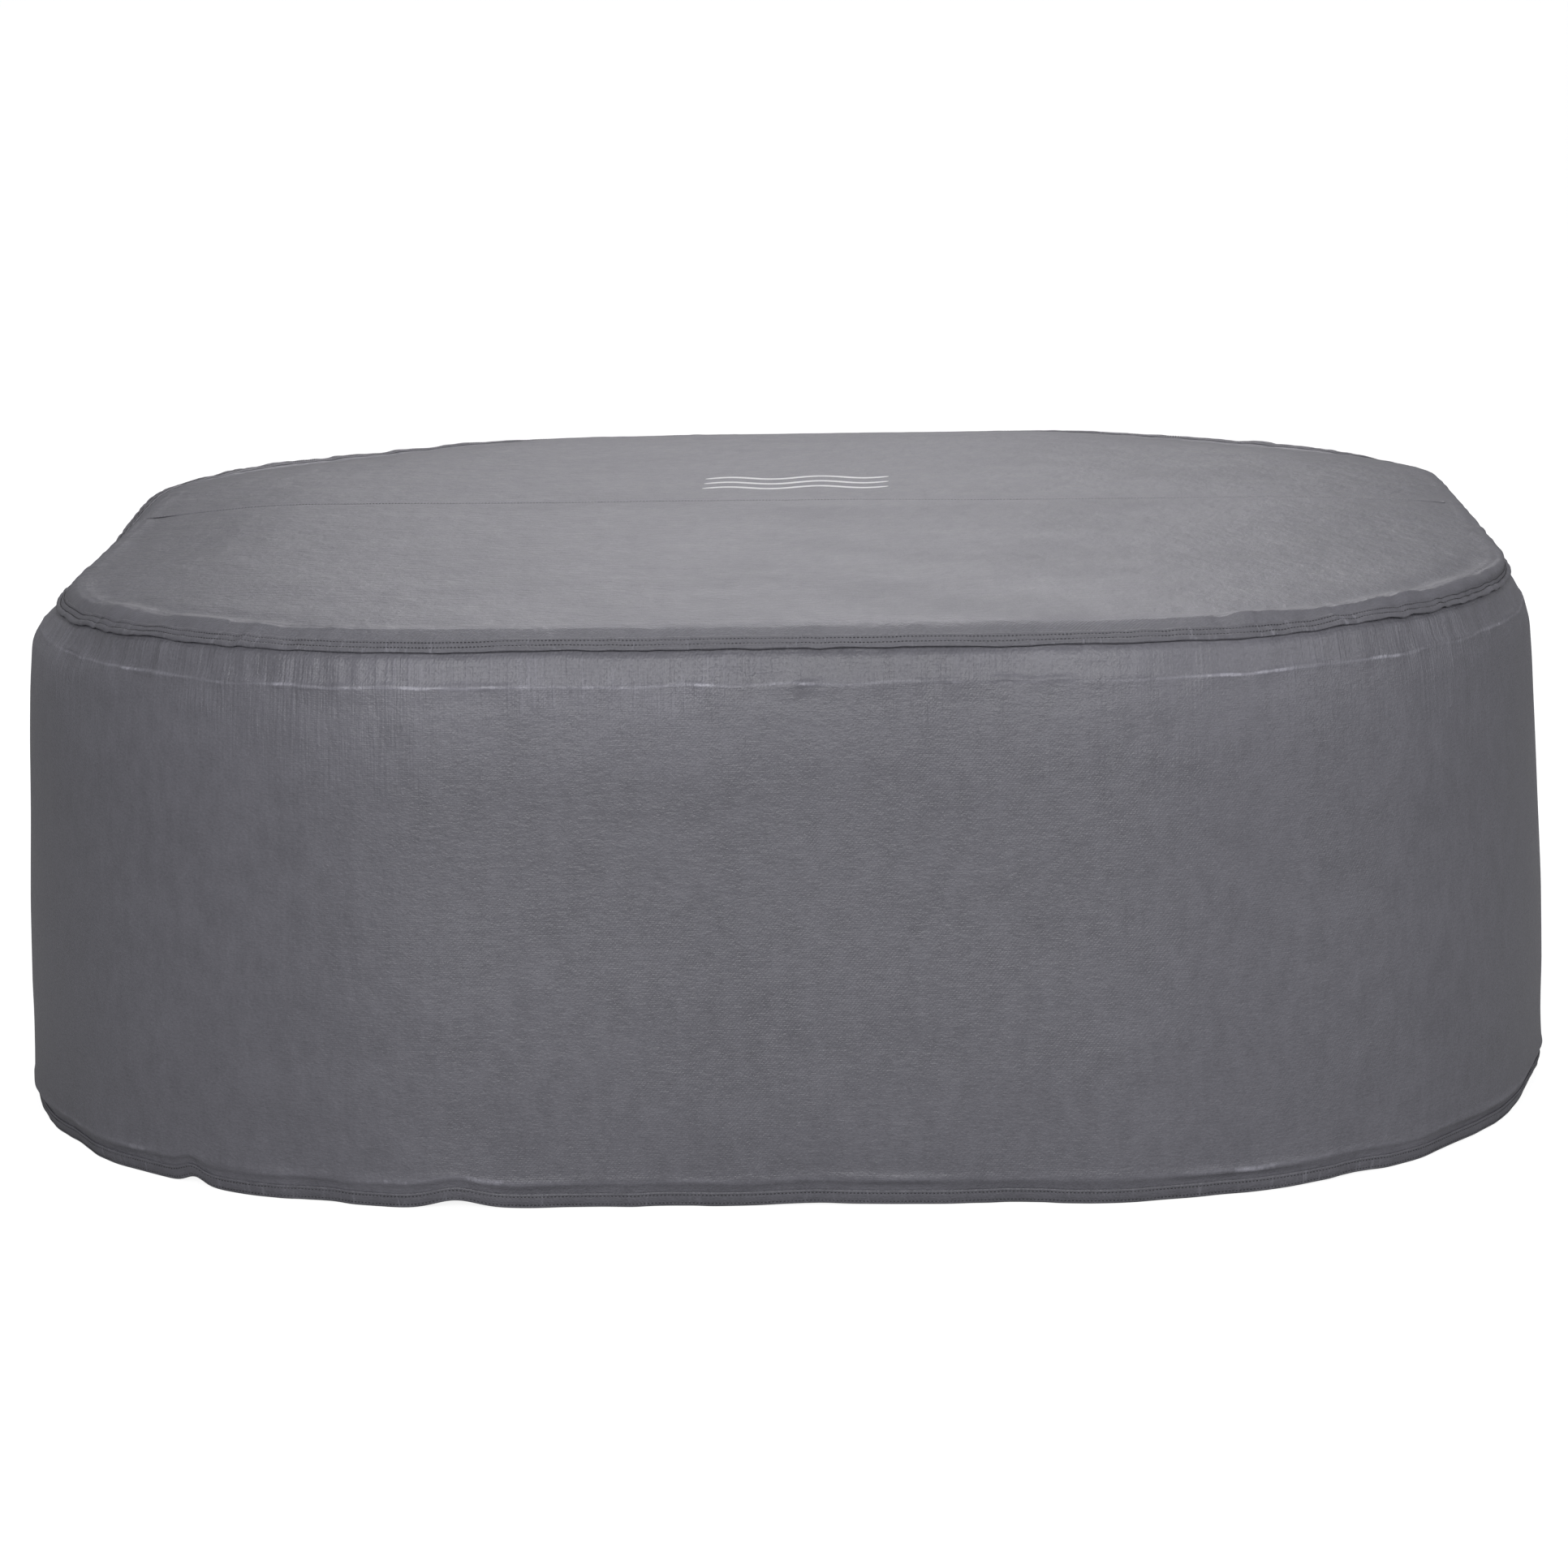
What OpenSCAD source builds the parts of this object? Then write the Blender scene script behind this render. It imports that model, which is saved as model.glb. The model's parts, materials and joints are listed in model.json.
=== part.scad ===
// Thermal cover for a square inflatable hot tub: a laminated jacket with a pump port at the back,
// a flap that closes the port, and a hem strap that joins the hem across the port.
// The frame is +Z up, with the origin at the middle of the plan on the plane under the hem.
// The front of the cover faces -Y.

/* [Cover] */
// Width and depth of the jacket, outside
cover_w = 1800; // [1500:10:2100]
// Radius of the four rounded corners in plan
corner_r = 570; // [420:10:600]
// Height of the seam that joins the top to the wall
seam_h = 604; // [560:1:760]
// Height of the crest, where the top turns down to the seam, above the seam
crest_rise = 19; // [10:1:30]
// Height of the middle of the top above the crest
crown_rise = 11; // [4:1:16]
// Distance behind the middle of the plan of the seam between the two halves
split_y = 60; // [0:5:100]

/* [Laminate] */
// Thickness of the coated outer shell
shell_t = 1.2; // [1:0.1:1.6]
// Thickness of the insulation
insulation_t = 5; // [4:0.5:6]
// Thickness of the foil-faced liner
liner_t = 1; // [0.8:0.1:1.2]

/* [Tapes] */
// Width of the binding on the top seam
binding_w = 20; // [16:1:24]
// Thickness of the sewn tapes
tape_t = 1.4; // [1.2:0.1:1.6]
// Width of the lapped seam on the top and of the side seam tapes
lap_w = 16; // [12:1:24]
// Height of the hem band
hem_h = 18; // [16:1:26]
// Diameter of the elastic cord inside the hem
elastic_d = 5; // [4:0.5:6]

/* [Pump port] */
// Width of the opening for the pump's pipes
port_w = 460; // [300:10:480]
// Height of the opening above the hem
port_h = 400; // [300:10:410]
// Width of the hook-and-loop strips
strip_w = 25; // [20:1:30]
// Width of the webbing of the hem strap
strap_w = 38; // [30:1:40]

/* [Print] */
// Length of each wave of the printed mark
print_w = 240; // [160:10:300]
// Distance between two waves of the printed mark
print_pitch = 48; // [36:1:60]

/* [Hidden] */
$fn = 96;

half_w = cover_w / 2;
side_l = cover_w - 2 * corner_r;
crest_h = seam_h + crest_rise;
top_h = crest_h + crown_rise;
// Clearance between neighbouring plies and pieces of the jacket
ply_gap = 0.2;
// Inset of the seam from the widest part of the wall
seam_inset = 28;
// Inset of the flat middle of the top
flat_inset = 300;
// Height of the underside of the plies above the hem's underside
ply_base = tape_t + 2 * ply_gap;
big = 3 * cover_w;

// The outside of the jacket as [inset, height] points, from the hem to the edge of the flat middle.
// seam_i is the index of the seam in it.
outside = [
  [0, ply_base], [0, seam_h - 134], [5, seam_h - 64], [16, seam_h - 19], [seam_inset, seam_h],
  [48, seam_h + 0.63 * crest_rise], [70, crest_h], [flat_inset, top_h]
];
seam_i = 4;
top_i = len(outside) - 1;

// Depths below the outside at which each ply starts and ends
shell_ply = [0, shell_t];
insulation_ply = [shell_ply[1] + ply_gap, shell_ply[1] + ply_gap + insulation_t];
liner_ply = [insulation_ply[1] + ply_gap, insulation_ply[1] + ply_gap + liner_t];
laminate_t = liner_ply[1];

// Direction from p to q, and the direction into the cavity from the line between them
function along(p, q) = (q - p) / norm(q - p);
function inward(p, q) = let (d = along(p, q)) [d[1], -d[0]];

// The outside moved to depth t at its point i: straight in at the hem, straight down at the flat middle
function at_depth(i, t) =
  i == 0 ? outside[0] + [t, 0]
  : i == top_i ? outside[top_i] - [0, t]
  : let (a = inward(outside[i - 1], outside[i]), b = inward(outside[i], outside[i + 1]))
    outside[i] + t * (a + b) / (1 + a * b);

// The same at the wall's end at the seam, drawn back by the gap between plies
function wall_end(t) = at_depth(seam_i, t) - ply_gap * along(outside[seam_i - 1], outside[seam_i]);

// Section of one ply of the wall, and of one ply of the sloping part of the top
function wall_section(ply) = concat(
  [for (i = [0:seam_i - 1]) at_depth(i, ply[0])], [wall_end(ply[0])],
  [wall_end(ply[1])], [for (i = [seam_i - 1:-1:0]) at_depth(i, ply[1])]
);
function top_section(ply) = concat(
  [for (i = [seam_i:top_i]) at_depth(i, ply[0])],
  [for (i = [top_i:-1:seam_i]) at_depth(i, ply[1])]
);

// Section of the binding over the top seam: it laps lap_down over the wall and runs up the slope
lap_down = 3;
function binding_section() =
  let (
    seam = outside[seam_i],
    down = along(outside[seam_i - 1], seam),
    up = along(seam, outside[seam_i + 1]),
    wall_out = -inward(outside[seam_i - 1], seam),
    top_out = -inward(seam, outside[seam_i + 1]),
    corner_out = (wall_out + top_out) / (1 + wall_out * top_out),
    low = seam - lap_down * down,
    high = seam + (binding_w - lap_down) * up,
    near = ply_gap,
    far = ply_gap + tape_t
  )
  [
    low + near * wall_out, seam + near * corner_out, high + near * top_out,
    high + far * top_out, seam + far * corner_out, low + far * wall_out
  ];

// Section of the hem: a band folded under the wall and back up inside it, round a channel for the elastic
channel_w = elastic_d + 3;
hem_out = -ply_gap - tape_t;
hem_in = laminate_t + ply_gap + channel_w;
function hem_section() = [
  [hem_out, hem_h], [hem_out, 0], [hem_in + tape_t, 0], [hem_in + tape_t, hem_h],
  [laminate_t + ply_gap, hem_h], [laminate_t + ply_gap, hem_h - tape_t], [hem_in, hem_h - tape_t],
  [hem_in, tape_t], [-ply_gap, tape_t], [-ply_gap, hem_h]
];

// A section swept round one corner, along one straight side, and round the whole plan
module corner(section) {
  translate([side_l / 2, side_l / 2, 0])
    rotate_extrude(angle = 90)
      polygon([for (p = section) [corner_r - p[0], p[1]]]);
}

module side(section, length = side_l) {
  translate([0, length / 2, 0])
    rotate([90, 0, 0])
      linear_extrude(length)
        polygon([for (p = section) [half_w - p[0], p[1]]]);
}

module ring(section) {
  for (turn = [0:90:270])
    rotate([0, 0, turn]) {
      corner(section);
      side(section);
    }
}

// A plan outline inset from the widest part of the wall
module plan(inset) {
  w = cover_w - 2 * inset;
  square([w, side_l], center = true);
  square([side_l, w], center = true);
  for (x = [-1, 1], y = [-1, 1])
    translate([x, y] * side_l / 2)
      circle(corner_r - inset);
}

// What lies in front of the split between the halves, or behind it, short of it by half a ply gap
module front_half() {
  intersection() {
    children();
    translate([-big / 2, split_y - ply_gap / 2 - big, -big / 2])
      cube(big);
  }
}

module back_half() {
  intersection() {
    children();
    translate([-big / 2, split_y + ply_gap / 2, -big / 2])
      cube(big);
  }
}

// Cuts the pump port, widened by a margin on each side and at the top, through what it is given
module without_port(margin = 0) {
  difference() {
    children();
    translate([-port_w / 2 - margin, 0, -big])
      cube([port_w + 2 * margin, big, big + port_h + margin]);
  }
}

// The flat middle of a ply of the top, and the whole ply
module top_panel(ply, inset) {
  translate([0, 0, top_h - ply[1]])
    linear_extrude(ply[1] - ply[0])
      plan(inset);
}

module top_ply(ply) {
  ring(top_section(ply));
  top_panel(ply, flat_inset);
}

// Top of the jacket
module top_shell_front() {
  color("slategray") front_half() top_ply(shell_ply);
}

module top_shell_back() {
  color("slategray") back_half() top_ply(shell_ply);
}

// The lapped seam runs over the split from the binding on one side to the binding on the other
module top_lap_seam() {
  lap_ply = [-ply_gap - tape_t / 2, -ply_gap];
  reach = half_w - flat_inset;
  end_inset = seam_inset + binding_w + 2;
  color("dimgray")
    translate([0, split_y, 0]) {
      for (half = [0, 1])
        mirror([half, 0, 0])
          intersection() {
            side(top_section(lap_ply), lap_w);
            translate([0, -lap_w, 0])
              cube([half_w - end_inset, 2 * lap_w, 2 * top_h]);
          }
      translate([-reach, -lap_w / 2, top_h + ply_gap])
        cube([2 * reach, lap_w, tape_t / 2]);
    }
}

module top_insulation_panel() {
  color("whitesmoke") top_panel(insulation_ply, flat_inset + ply_gap);
}

module top_insulation_border() {
  color("whitesmoke") ring(top_section(insulation_ply));
}

module top_liner() {
  color("silver") top_ply(liner_ply);
}

module top_binding() {
  color("dimgray") ring(binding_section());
}

// Wall of the jacket
module wall_shell_front() {
  color("slategray") front_half() ring(wall_section(shell_ply));
}

module wall_shell_back() {
  color("slategray") without_port() back_half() ring(wall_section(shell_ply));
}

module wall_insulation_front() {
  color("whitesmoke") front_half() ring(wall_section(insulation_ply));
}

module wall_insulation_back() {
  color("whitesmoke") without_port() back_half() ring(wall_section(insulation_ply));
}

module wall_liner_front() {
  color("silver") front_half() ring(wall_section(liner_ply));
}

module wall_liner_back() {
  color("silver") without_port() back_half() ring(wall_section(liner_ply));
}

// A vertical tape over the seam between the two halves of the wall, on the right side
module side_seam() {
  seam_tape_ply = [-ply_gap - tape_t, -ply_gap];
  translate([0, split_y, 0])
    intersection() {
      side(wall_section(seam_tape_ply), lap_w);
      translate([0, -lap_w, hem_h + ply_gap])
        cube([big, 2 * lap_w, seam_h - hem_h - 2 * lap_down]);
    }
}

module side_seam_right() {
  color("dimgray") side_seam();
}

module side_seam_left() {
  color("dimgray") mirror([1, 0, 0]) side_seam();
}

// Hem of the jacket
module hem_tape() {
  color("dimgray") without_port() ring(hem_section());
}

module hem_elastic() {
  r = elastic_d / 2;
  color("black")
    without_port()
      for (turn = [0:90:270])
        rotate([0, 0, turn]) {
          inset = laminate_t + ply_gap + channel_w / 2;
          z = (hem_h + tape_t) / 2;
          translate([side_l / 2, side_l / 2, z])
            rotate_extrude(angle = 90)
              translate([corner_r - inset, 0])
                circle(r);
          translate([half_w - inset, 0, z])
            rotate([90, 0, 0])
              cylinder(r = r, h = side_l, center = true);
        }
}

// A generic mark of stacked waves, printed on the back half of the top
module wave_print() {
  print_t = 0.4;
  line_w = 14;
  swing = 11;
  steps = 24;
  middle_y = 230;
  function wave(s) = [print_w * (s / steps - 0.5), swing * sin(720 * s / steps)];
  color("white")
    for (row = [-1:1])
      translate([0, middle_y + row * print_pitch, top_h + ply_gap])
        linear_extrude(print_t)
          polygon(concat(
            [for (s = [0:steps]) wave(s) - [0, line_w / 2]],
            [for (s = [steps:-1:0]) wave(s) + [0, line_w / 2]]
          ));
}

// Port, in the flat middle of the back wall.
// Distances out from the wall at which the plies on it, on the flap and on the strap start
flange_w = 12;
tape_out = ply_gap;
hook_out = tape_out + tape_t + 0.3;
flap_out = hook_out + tape_t + ply_gap;
strap_t = 1.6;
strap_out = flap_out;
port_edge = port_w / 2 + flange_w;
strip_x = port_edge + 1;
flap_edge = strip_x + strip_w + 1 + flange_w;
flap_low = 62;
flap_head = port_h + 28;
hinge_z = port_h + 45;
strip_z = [flap_low + flange_w + 1, flap_head - 3];

// A block with its inner face a distance out from the back wall
module on_back_wall(x, z, out, thickness) {
  translate([x[0], half_w + out, z[0]])
    cube([x[1] - x[0], thickness, z[1] - z[0]]);
}

module port_binding() {
  wrap = ply_gap + tape_t;
  low = hem_h + ply_gap;
  color("dimgray")
    difference() {
      on_back_wall([-port_edge, port_edge], [low, port_h + flange_w],
        -laminate_t - wrap, laminate_t + 2 * wrap);
      on_back_wall([wrap - port_w / 2, port_w / 2 - wrap], [0, port_h - wrap], -big / 2, big);
      difference() {
        on_back_wall([-big, big], [0, big], -laminate_t - ply_gap, laminate_t + 2 * ply_gap);
        on_back_wall([ply_gap - port_w / 2, port_w / 2 - ply_gap], [0, port_h - ply_gap], -big / 2, big);
      }
    }
}

module flap_head_tape() {
  color("dimgray")
    on_back_wall([-flap_edge, flap_edge], [hinge_z + 1, hinge_z + 1 + strip_w], tape_out, tape_t);
}

module fastener_strip(out) {
  on_back_wall([strip_x, strip_x + strip_w], strip_z, out, tape_t);
}

module loop_strip_right() {
  color("dimgray") fastener_strip(tape_out);
}

module loop_strip_left() {
  color("dimgray") mirror([1, 0, 0]) fastener_strip(tape_out);
}

// Flap, hung from the head tape. Its outer shell runs up past the padding to the fold at hinge_z.
module flap_plies(ply) {
  on_back_wall([-flap_edge, flap_edge], [flap_low, flap_head],
    flap_out + laminate_t - ply[1], ply[1] - ply[0]);
}

module flap_shell() {
  neck_y = half_w + hook_out + 0.4;
  low_y = half_w + flap_out + laminate_t - shell_t;
  neck_z = hinge_z - 2;
  color("slategray") {
    flap_plies(shell_ply);
    translate([-flap_edge, 0, 0])
      rotate([90, 0, 90])
        linear_extrude(2 * flap_edge)
          polygon([
            [low_y, flap_head], [low_y + shell_t, flap_head],
            [neck_y + shell_t, neck_z], [neck_y, neck_z]
          ]);
  }
}

module flap_insulation() {
  color("whitesmoke") flap_plies(insulation_ply);
}

module flap_liner() {
  color("silver") flap_plies(liner_ply);
}

module flap_binding() {
  wrap = ply_gap + tape_t;
  color("dimgray")
    difference() {
      on_back_wall([-flap_edge - wrap, flap_edge + wrap], [flap_low - wrap, flap_head],
        hook_out, laminate_t + 2 * wrap);
      on_back_wall([-flap_edge - ply_gap, flap_edge + ply_gap], [flap_low - ply_gap, big],
        hook_out + tape_t, laminate_t + 2 * ply_gap);
      on_back_wall([flange_w - flap_edge, flap_edge - flange_w], [flap_low + flange_w, big], 0, big);
    }
}

module hook_strip_right() {
  color("black") fastener_strip(hook_out);
}

module hook_strip_left() {
  color("black") mirror([1, 0, 0]) fastener_strip(hook_out);
}

module flap_pull_tab() {
  tab_w = 30;
  tab_out = flap_out + laminate_t + 2 * ply_gap + tape_t;
  color("black")
    on_back_wall([-tab_w / 2, tab_w / 2], [flap_low - 14, flap_low + 26], tab_out, tape_t);
}

// Hem strap, sewn to the wall left of the port and fastened right of it
strap_z = [4, 4 + strap_w];
strap_fold_x = -port_edge - 18;
strap_end_x = port_edge + 62;
patch_x = [port_edge + 1, strap_end_x];

module strap_anchor() {
  color("dimgray")
    on_back_wall([strap_fold_x - 40, strap_fold_x - 1.5], strap_z, hook_out, tape_t);
}

module strap_landing_loop() {
  color("dimgray")
    on_back_wall(patch_x, [hem_h + 2, strap_z[1]], tape_out, tape_t);
}

module hem_strap() {
  color("black")
    on_back_wall([strap_fold_x + 1.5, strap_end_x], strap_z, strap_out, strap_t);
}

module strap_hook_patch() {
  color("black")
    on_back_wall(patch_x, [hem_h + 2, strap_z[1]], hook_out, tape_t);
}

top_shell_front();
top_shell_back();
top_lap_seam();
top_insulation_panel();
top_insulation_border();
top_liner();
top_binding();
wall_shell_front();
wall_shell_back();
wall_insulation_front();
wall_insulation_back();
wall_liner_front();
wall_liner_back();
side_seam_left();
side_seam_right();
hem_tape();
hem_elastic();
wave_print();
port_binding();
flap_head_tape();
loop_strip_left();
loop_strip_right();
strap_anchor();
strap_landing_loop();
flap_shell();
flap_insulation();
flap_liner();
flap_binding();
hook_strip_left();
hook_strip_right();
flap_pull_tab();
hem_strap();
strap_hook_patch();
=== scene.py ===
"""Looks of a thermal cover for a square inflatable spa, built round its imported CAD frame."""
import json
import math

import bmesh
import bpy
import numpy as np
from mathutils import Matrix, Vector


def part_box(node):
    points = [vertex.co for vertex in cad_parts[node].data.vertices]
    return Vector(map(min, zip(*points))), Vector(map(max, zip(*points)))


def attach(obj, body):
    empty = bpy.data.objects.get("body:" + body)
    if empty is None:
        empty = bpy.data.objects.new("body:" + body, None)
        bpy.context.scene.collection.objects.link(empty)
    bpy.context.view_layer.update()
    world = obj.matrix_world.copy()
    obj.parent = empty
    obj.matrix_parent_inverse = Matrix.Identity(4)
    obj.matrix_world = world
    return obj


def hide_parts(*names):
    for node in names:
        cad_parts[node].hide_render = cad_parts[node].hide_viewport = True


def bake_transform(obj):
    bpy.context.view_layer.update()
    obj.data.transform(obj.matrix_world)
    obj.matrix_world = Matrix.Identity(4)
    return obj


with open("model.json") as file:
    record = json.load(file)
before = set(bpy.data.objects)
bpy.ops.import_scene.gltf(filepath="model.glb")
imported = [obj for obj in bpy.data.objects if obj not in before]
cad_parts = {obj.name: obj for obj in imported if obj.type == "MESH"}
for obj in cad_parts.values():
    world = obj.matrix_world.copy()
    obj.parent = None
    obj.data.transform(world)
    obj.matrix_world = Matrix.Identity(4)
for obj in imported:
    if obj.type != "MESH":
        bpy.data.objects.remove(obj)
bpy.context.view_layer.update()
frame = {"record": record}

MM = 0.001

# ---------------------------------------------------------------- sizes, from the frame
wall_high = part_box("wall_shell_front")[1]
top_low, top_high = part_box("top_shell_front")
HALF = wall_high.x                      # half the cover's width
SEAM_Z = top_low.z + 1 * MM             # the seam that joins the top to the wall
SEAM_INSET = HALF - top_high.x
SEW_INSET = SEAM_INSET + 9 * MM         # the sewn edge, where the cloth's pull has drawn it in
TOP_Z = top_high.z
SPLIT_Y = wall_high.y                   # where the front half meets the back half
CORNER = 570 * MM                       # corner radius in plan
STRAIGHT = 2 * (HALF - CORNER)
ARC = math.pi / 2 * CORNER
PERIMETER = 4 * (STRAIGHT + ARC)
BACK = HALF                             # y of the back wall's outer face
MID_FRONT = PERIMETER / 2               # arc length at the middle of the front
OPEN = 8.0                              # a length so great that noise repeated after it never repeats here
SIDE_SEAM_S = STRAIGHT / 2 + ARC + STRAIGHT / 2 - SPLIT_Y   # arc length to the left side seam


# ---------------------------------------------------------------- curves and fields
def ramp(x, low, high):
    """0 below low, 1 above high and smooth between them; low may be the larger one."""
    t = np.clip((x - low) / (high - low), 0, 1)
    return t * t * (3 - 2 * t)


def rounded_line(points, blur):
    """A function whose graph is the line through the points, with its corners rounded over about blur."""
    step = 0.5 * MM
    xs = np.arange(points[0][0], points[-1][0] + step, step)
    ys = np.interp(xs, *zip(*points))
    reach = int(3 * blur / step)
    kernel = np.exp(-0.5 * (np.arange(-reach, reach + 1) * step / blur) ** 2)
    ys = np.convolve(np.pad(ys, reach, "reflect", reflect_type="odd"), kernel / kernel.sum(), "valid")
    return lambda x: np.interp(x, xs, ys)


def outline(s):
    """Plan points and outward normals of the widest outline at arc lengths s, which start at the
    middle of the back and run past the left side, the front and the right side."""
    s = np.mod(np.asarray(s, float) + STRAIGHT / 2, PERIMETER)
    quarter = np.floor(s / (STRAIGHT + ARC))
    t = s - quarter * (STRAIGHT + ARC)
    along = np.minimum(t, STRAIGHT) - STRAIGHT / 2
    angle = math.pi / 2 + np.maximum(t - STRAIGHT, 0) / CORNER
    x = -along + CORNER * np.cos(angle)
    y = HALF - CORNER + CORNER * np.sin(angle)
    turn = quarter * math.pi / 2
    cos, sin = np.cos(turn), np.sin(turn)
    places = np.stack([x * cos - y * sin, x * sin + y * cos], -1)
    normals = np.stack([np.cos(angle + turn), np.sin(angle + turn)], -1)
    return places, normals


def inset_at(x, y):
    """Distance inside the widest outline of plan points."""
    reach_x = np.abs(x) - STRAIGHT / 2
    reach_y = np.abs(y) - STRAIGHT / 2
    outside = np.hypot(np.maximum(reach_x, 0), np.maximum(reach_y, 0))
    return CORNER - outside - np.minimum(np.maximum(reach_x, reach_y), 0)


def cloud(seed, u, v, cell_u, cell_v, around=PERIMETER):
    """Smooth noise, mostly from -1 to 1, in cells of that size. It repeats along u after around."""
    columns = max(4, round(around / cell_u))
    rows = 96
    table = np.random.default_rng(seed).uniform(-1, 1, (columns, rows))
    u = np.asarray(u, float) / around * columns
    v = np.asarray(v, float) / cell_v + rows / 2
    i, j = np.floor(u).astype(int), np.floor(v).astype(int)
    fu, fv = u - i, v - j
    fu, fv = fu * fu * (3 - 2 * fu), fv * fv * (3 - 2 * fv)
    a = table[i % columns, j % rows] * (1 - fu) + table[(i + 1) % columns, j % rows] * fu
    b = table[i % columns, (j + 1) % rows] * (1 - fu) + table[(i + 1) % columns, (j + 1) % rows] * fu
    return a * (1 - fv) + b * fv


def drift(seed, s, cell, around=PERIMETER):
    """Smooth noise along one line."""
    return cloud(seed, s, 0 * s, cell, 1, around)


def bell(x, width):
    """1 at 0, falling away smoothly on both sides; it is 0.37 at the width."""
    return np.exp(-(x / width) ** 2)


# ---------------------------------------------------------------- the wall's face
# Heights, with the inset of the taut cloth at each: it tucks in at the hem, bulges a little in the
# middle, and leans in from a ridge 31 mm under the seam.
RIDGE_Z = SEAM_Z - 31 * MM
HEM_RIDGE_Z = 31 * MM
wall_line = rounded_line([
    (0, 11 * MM), (12 * MM, 8 * MM), (HEM_RIDGE_Z, 3 * MM), (60 * MM, 3 * MM), (140 * MM, 2.6 * MM),
    (240 * MM, 6 * MM), (340 * MM, 11.5 * MM), (440 * MM, 16.2 * MM), (500 * MM, 19.2 * MM),
    (540 * MM, 22.6 * MM), (RIDGE_Z, 27.5 * MM), (SEAM_Z - 9 * MM, 34.6 * MM),
    (SEAM_Z - 4 * MM, SEW_INSET + 2.4 * MM), (SEAM_Z, SEW_INSET + 3.2 * MM)
], 2.2 * MM)
flat_line = rounded_line([
    (0, 0), (SEAM_Z - 134 * MM, 0), (SEAM_Z - 64 * MM, 5 * MM), (SEAM_Z - 19 * MM, 16 * MM),
    (SEAM_Z, SEAM_INSET)
], 4 * MM)

port_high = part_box("port_binding")[1]
flap_low, flap_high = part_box("flap_binding")
head_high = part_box("flap_head_tape")[1]


def port_calm(s, z):
    """1 on the flat part of the back wall round the port, and 0 away from it."""
    s = np.mod(np.asarray(s, float) + PERIMETER / 2, PERIMETER) - PERIMETER / 2
    beside = ramp(np.abs(s), flap_high.x + 140 * MM, flap_high.x + 45 * MM)
    return beside * ramp(z, SEAM_Z - 30 * MM, head_high.z + 10 * MM)


GATHER_PITCH = PERIMETER / 16
GATHER_START = MID_FRONT + 277 * MM      # the gather right of the middle of the front


def near_gather(s, width):
    """1 at each gather of the hem and 0 away from it, and the signed distance from it."""
    t = np.mod(s - GATHER_START + GATHER_PITCH / 2, GATHER_PITCH) - GATHER_PITCH / 2
    t = t - 8 * MM * drift(41, s, GATHER_PITCH)
    return bell(t, width), t


# where the hem arches off the ground: distance from the middle of the front, width and height
HEM_ARCHES = [(-0.345, 34 * MM, 10 * MM), (-0.67, 20 * MM, 9 * MM), (0.04, 60 * MM, 2.5 * MM),
              (0.63, 90 * MM, 3 * MM), (1.12, 130 * MM, 14 * MM)]


def hem_lift(s):
    """How far the hem's edge stands off the ground."""
    lift = 2.4 * MM * np.maximum(0, drift(51, s, 210 * MM)) ** 1.5
    for at, width, height in HEM_ARCHES:
        lift = lift + height * bell(s - MID_FRONT - at, width)
    return lift


def cornered(s):
    """1 in the middle of each rounded corner and 0 on the straight sides."""
    t = np.mod(np.asarray(s, float) + STRAIGHT / 2, STRAIGHT + ARC)
    return np.clip(np.sin(math.pi * np.clip((t - STRAIGHT) / ARC, 0, 1)), 0, 1)


def ridge_run(s):
    """How far the ridge under the seam wanders down."""
    return 2.6 * MM * drift(14, s, 100 * MM) + 1.4 * MM * drift(15, s, 34 * MM)


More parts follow.
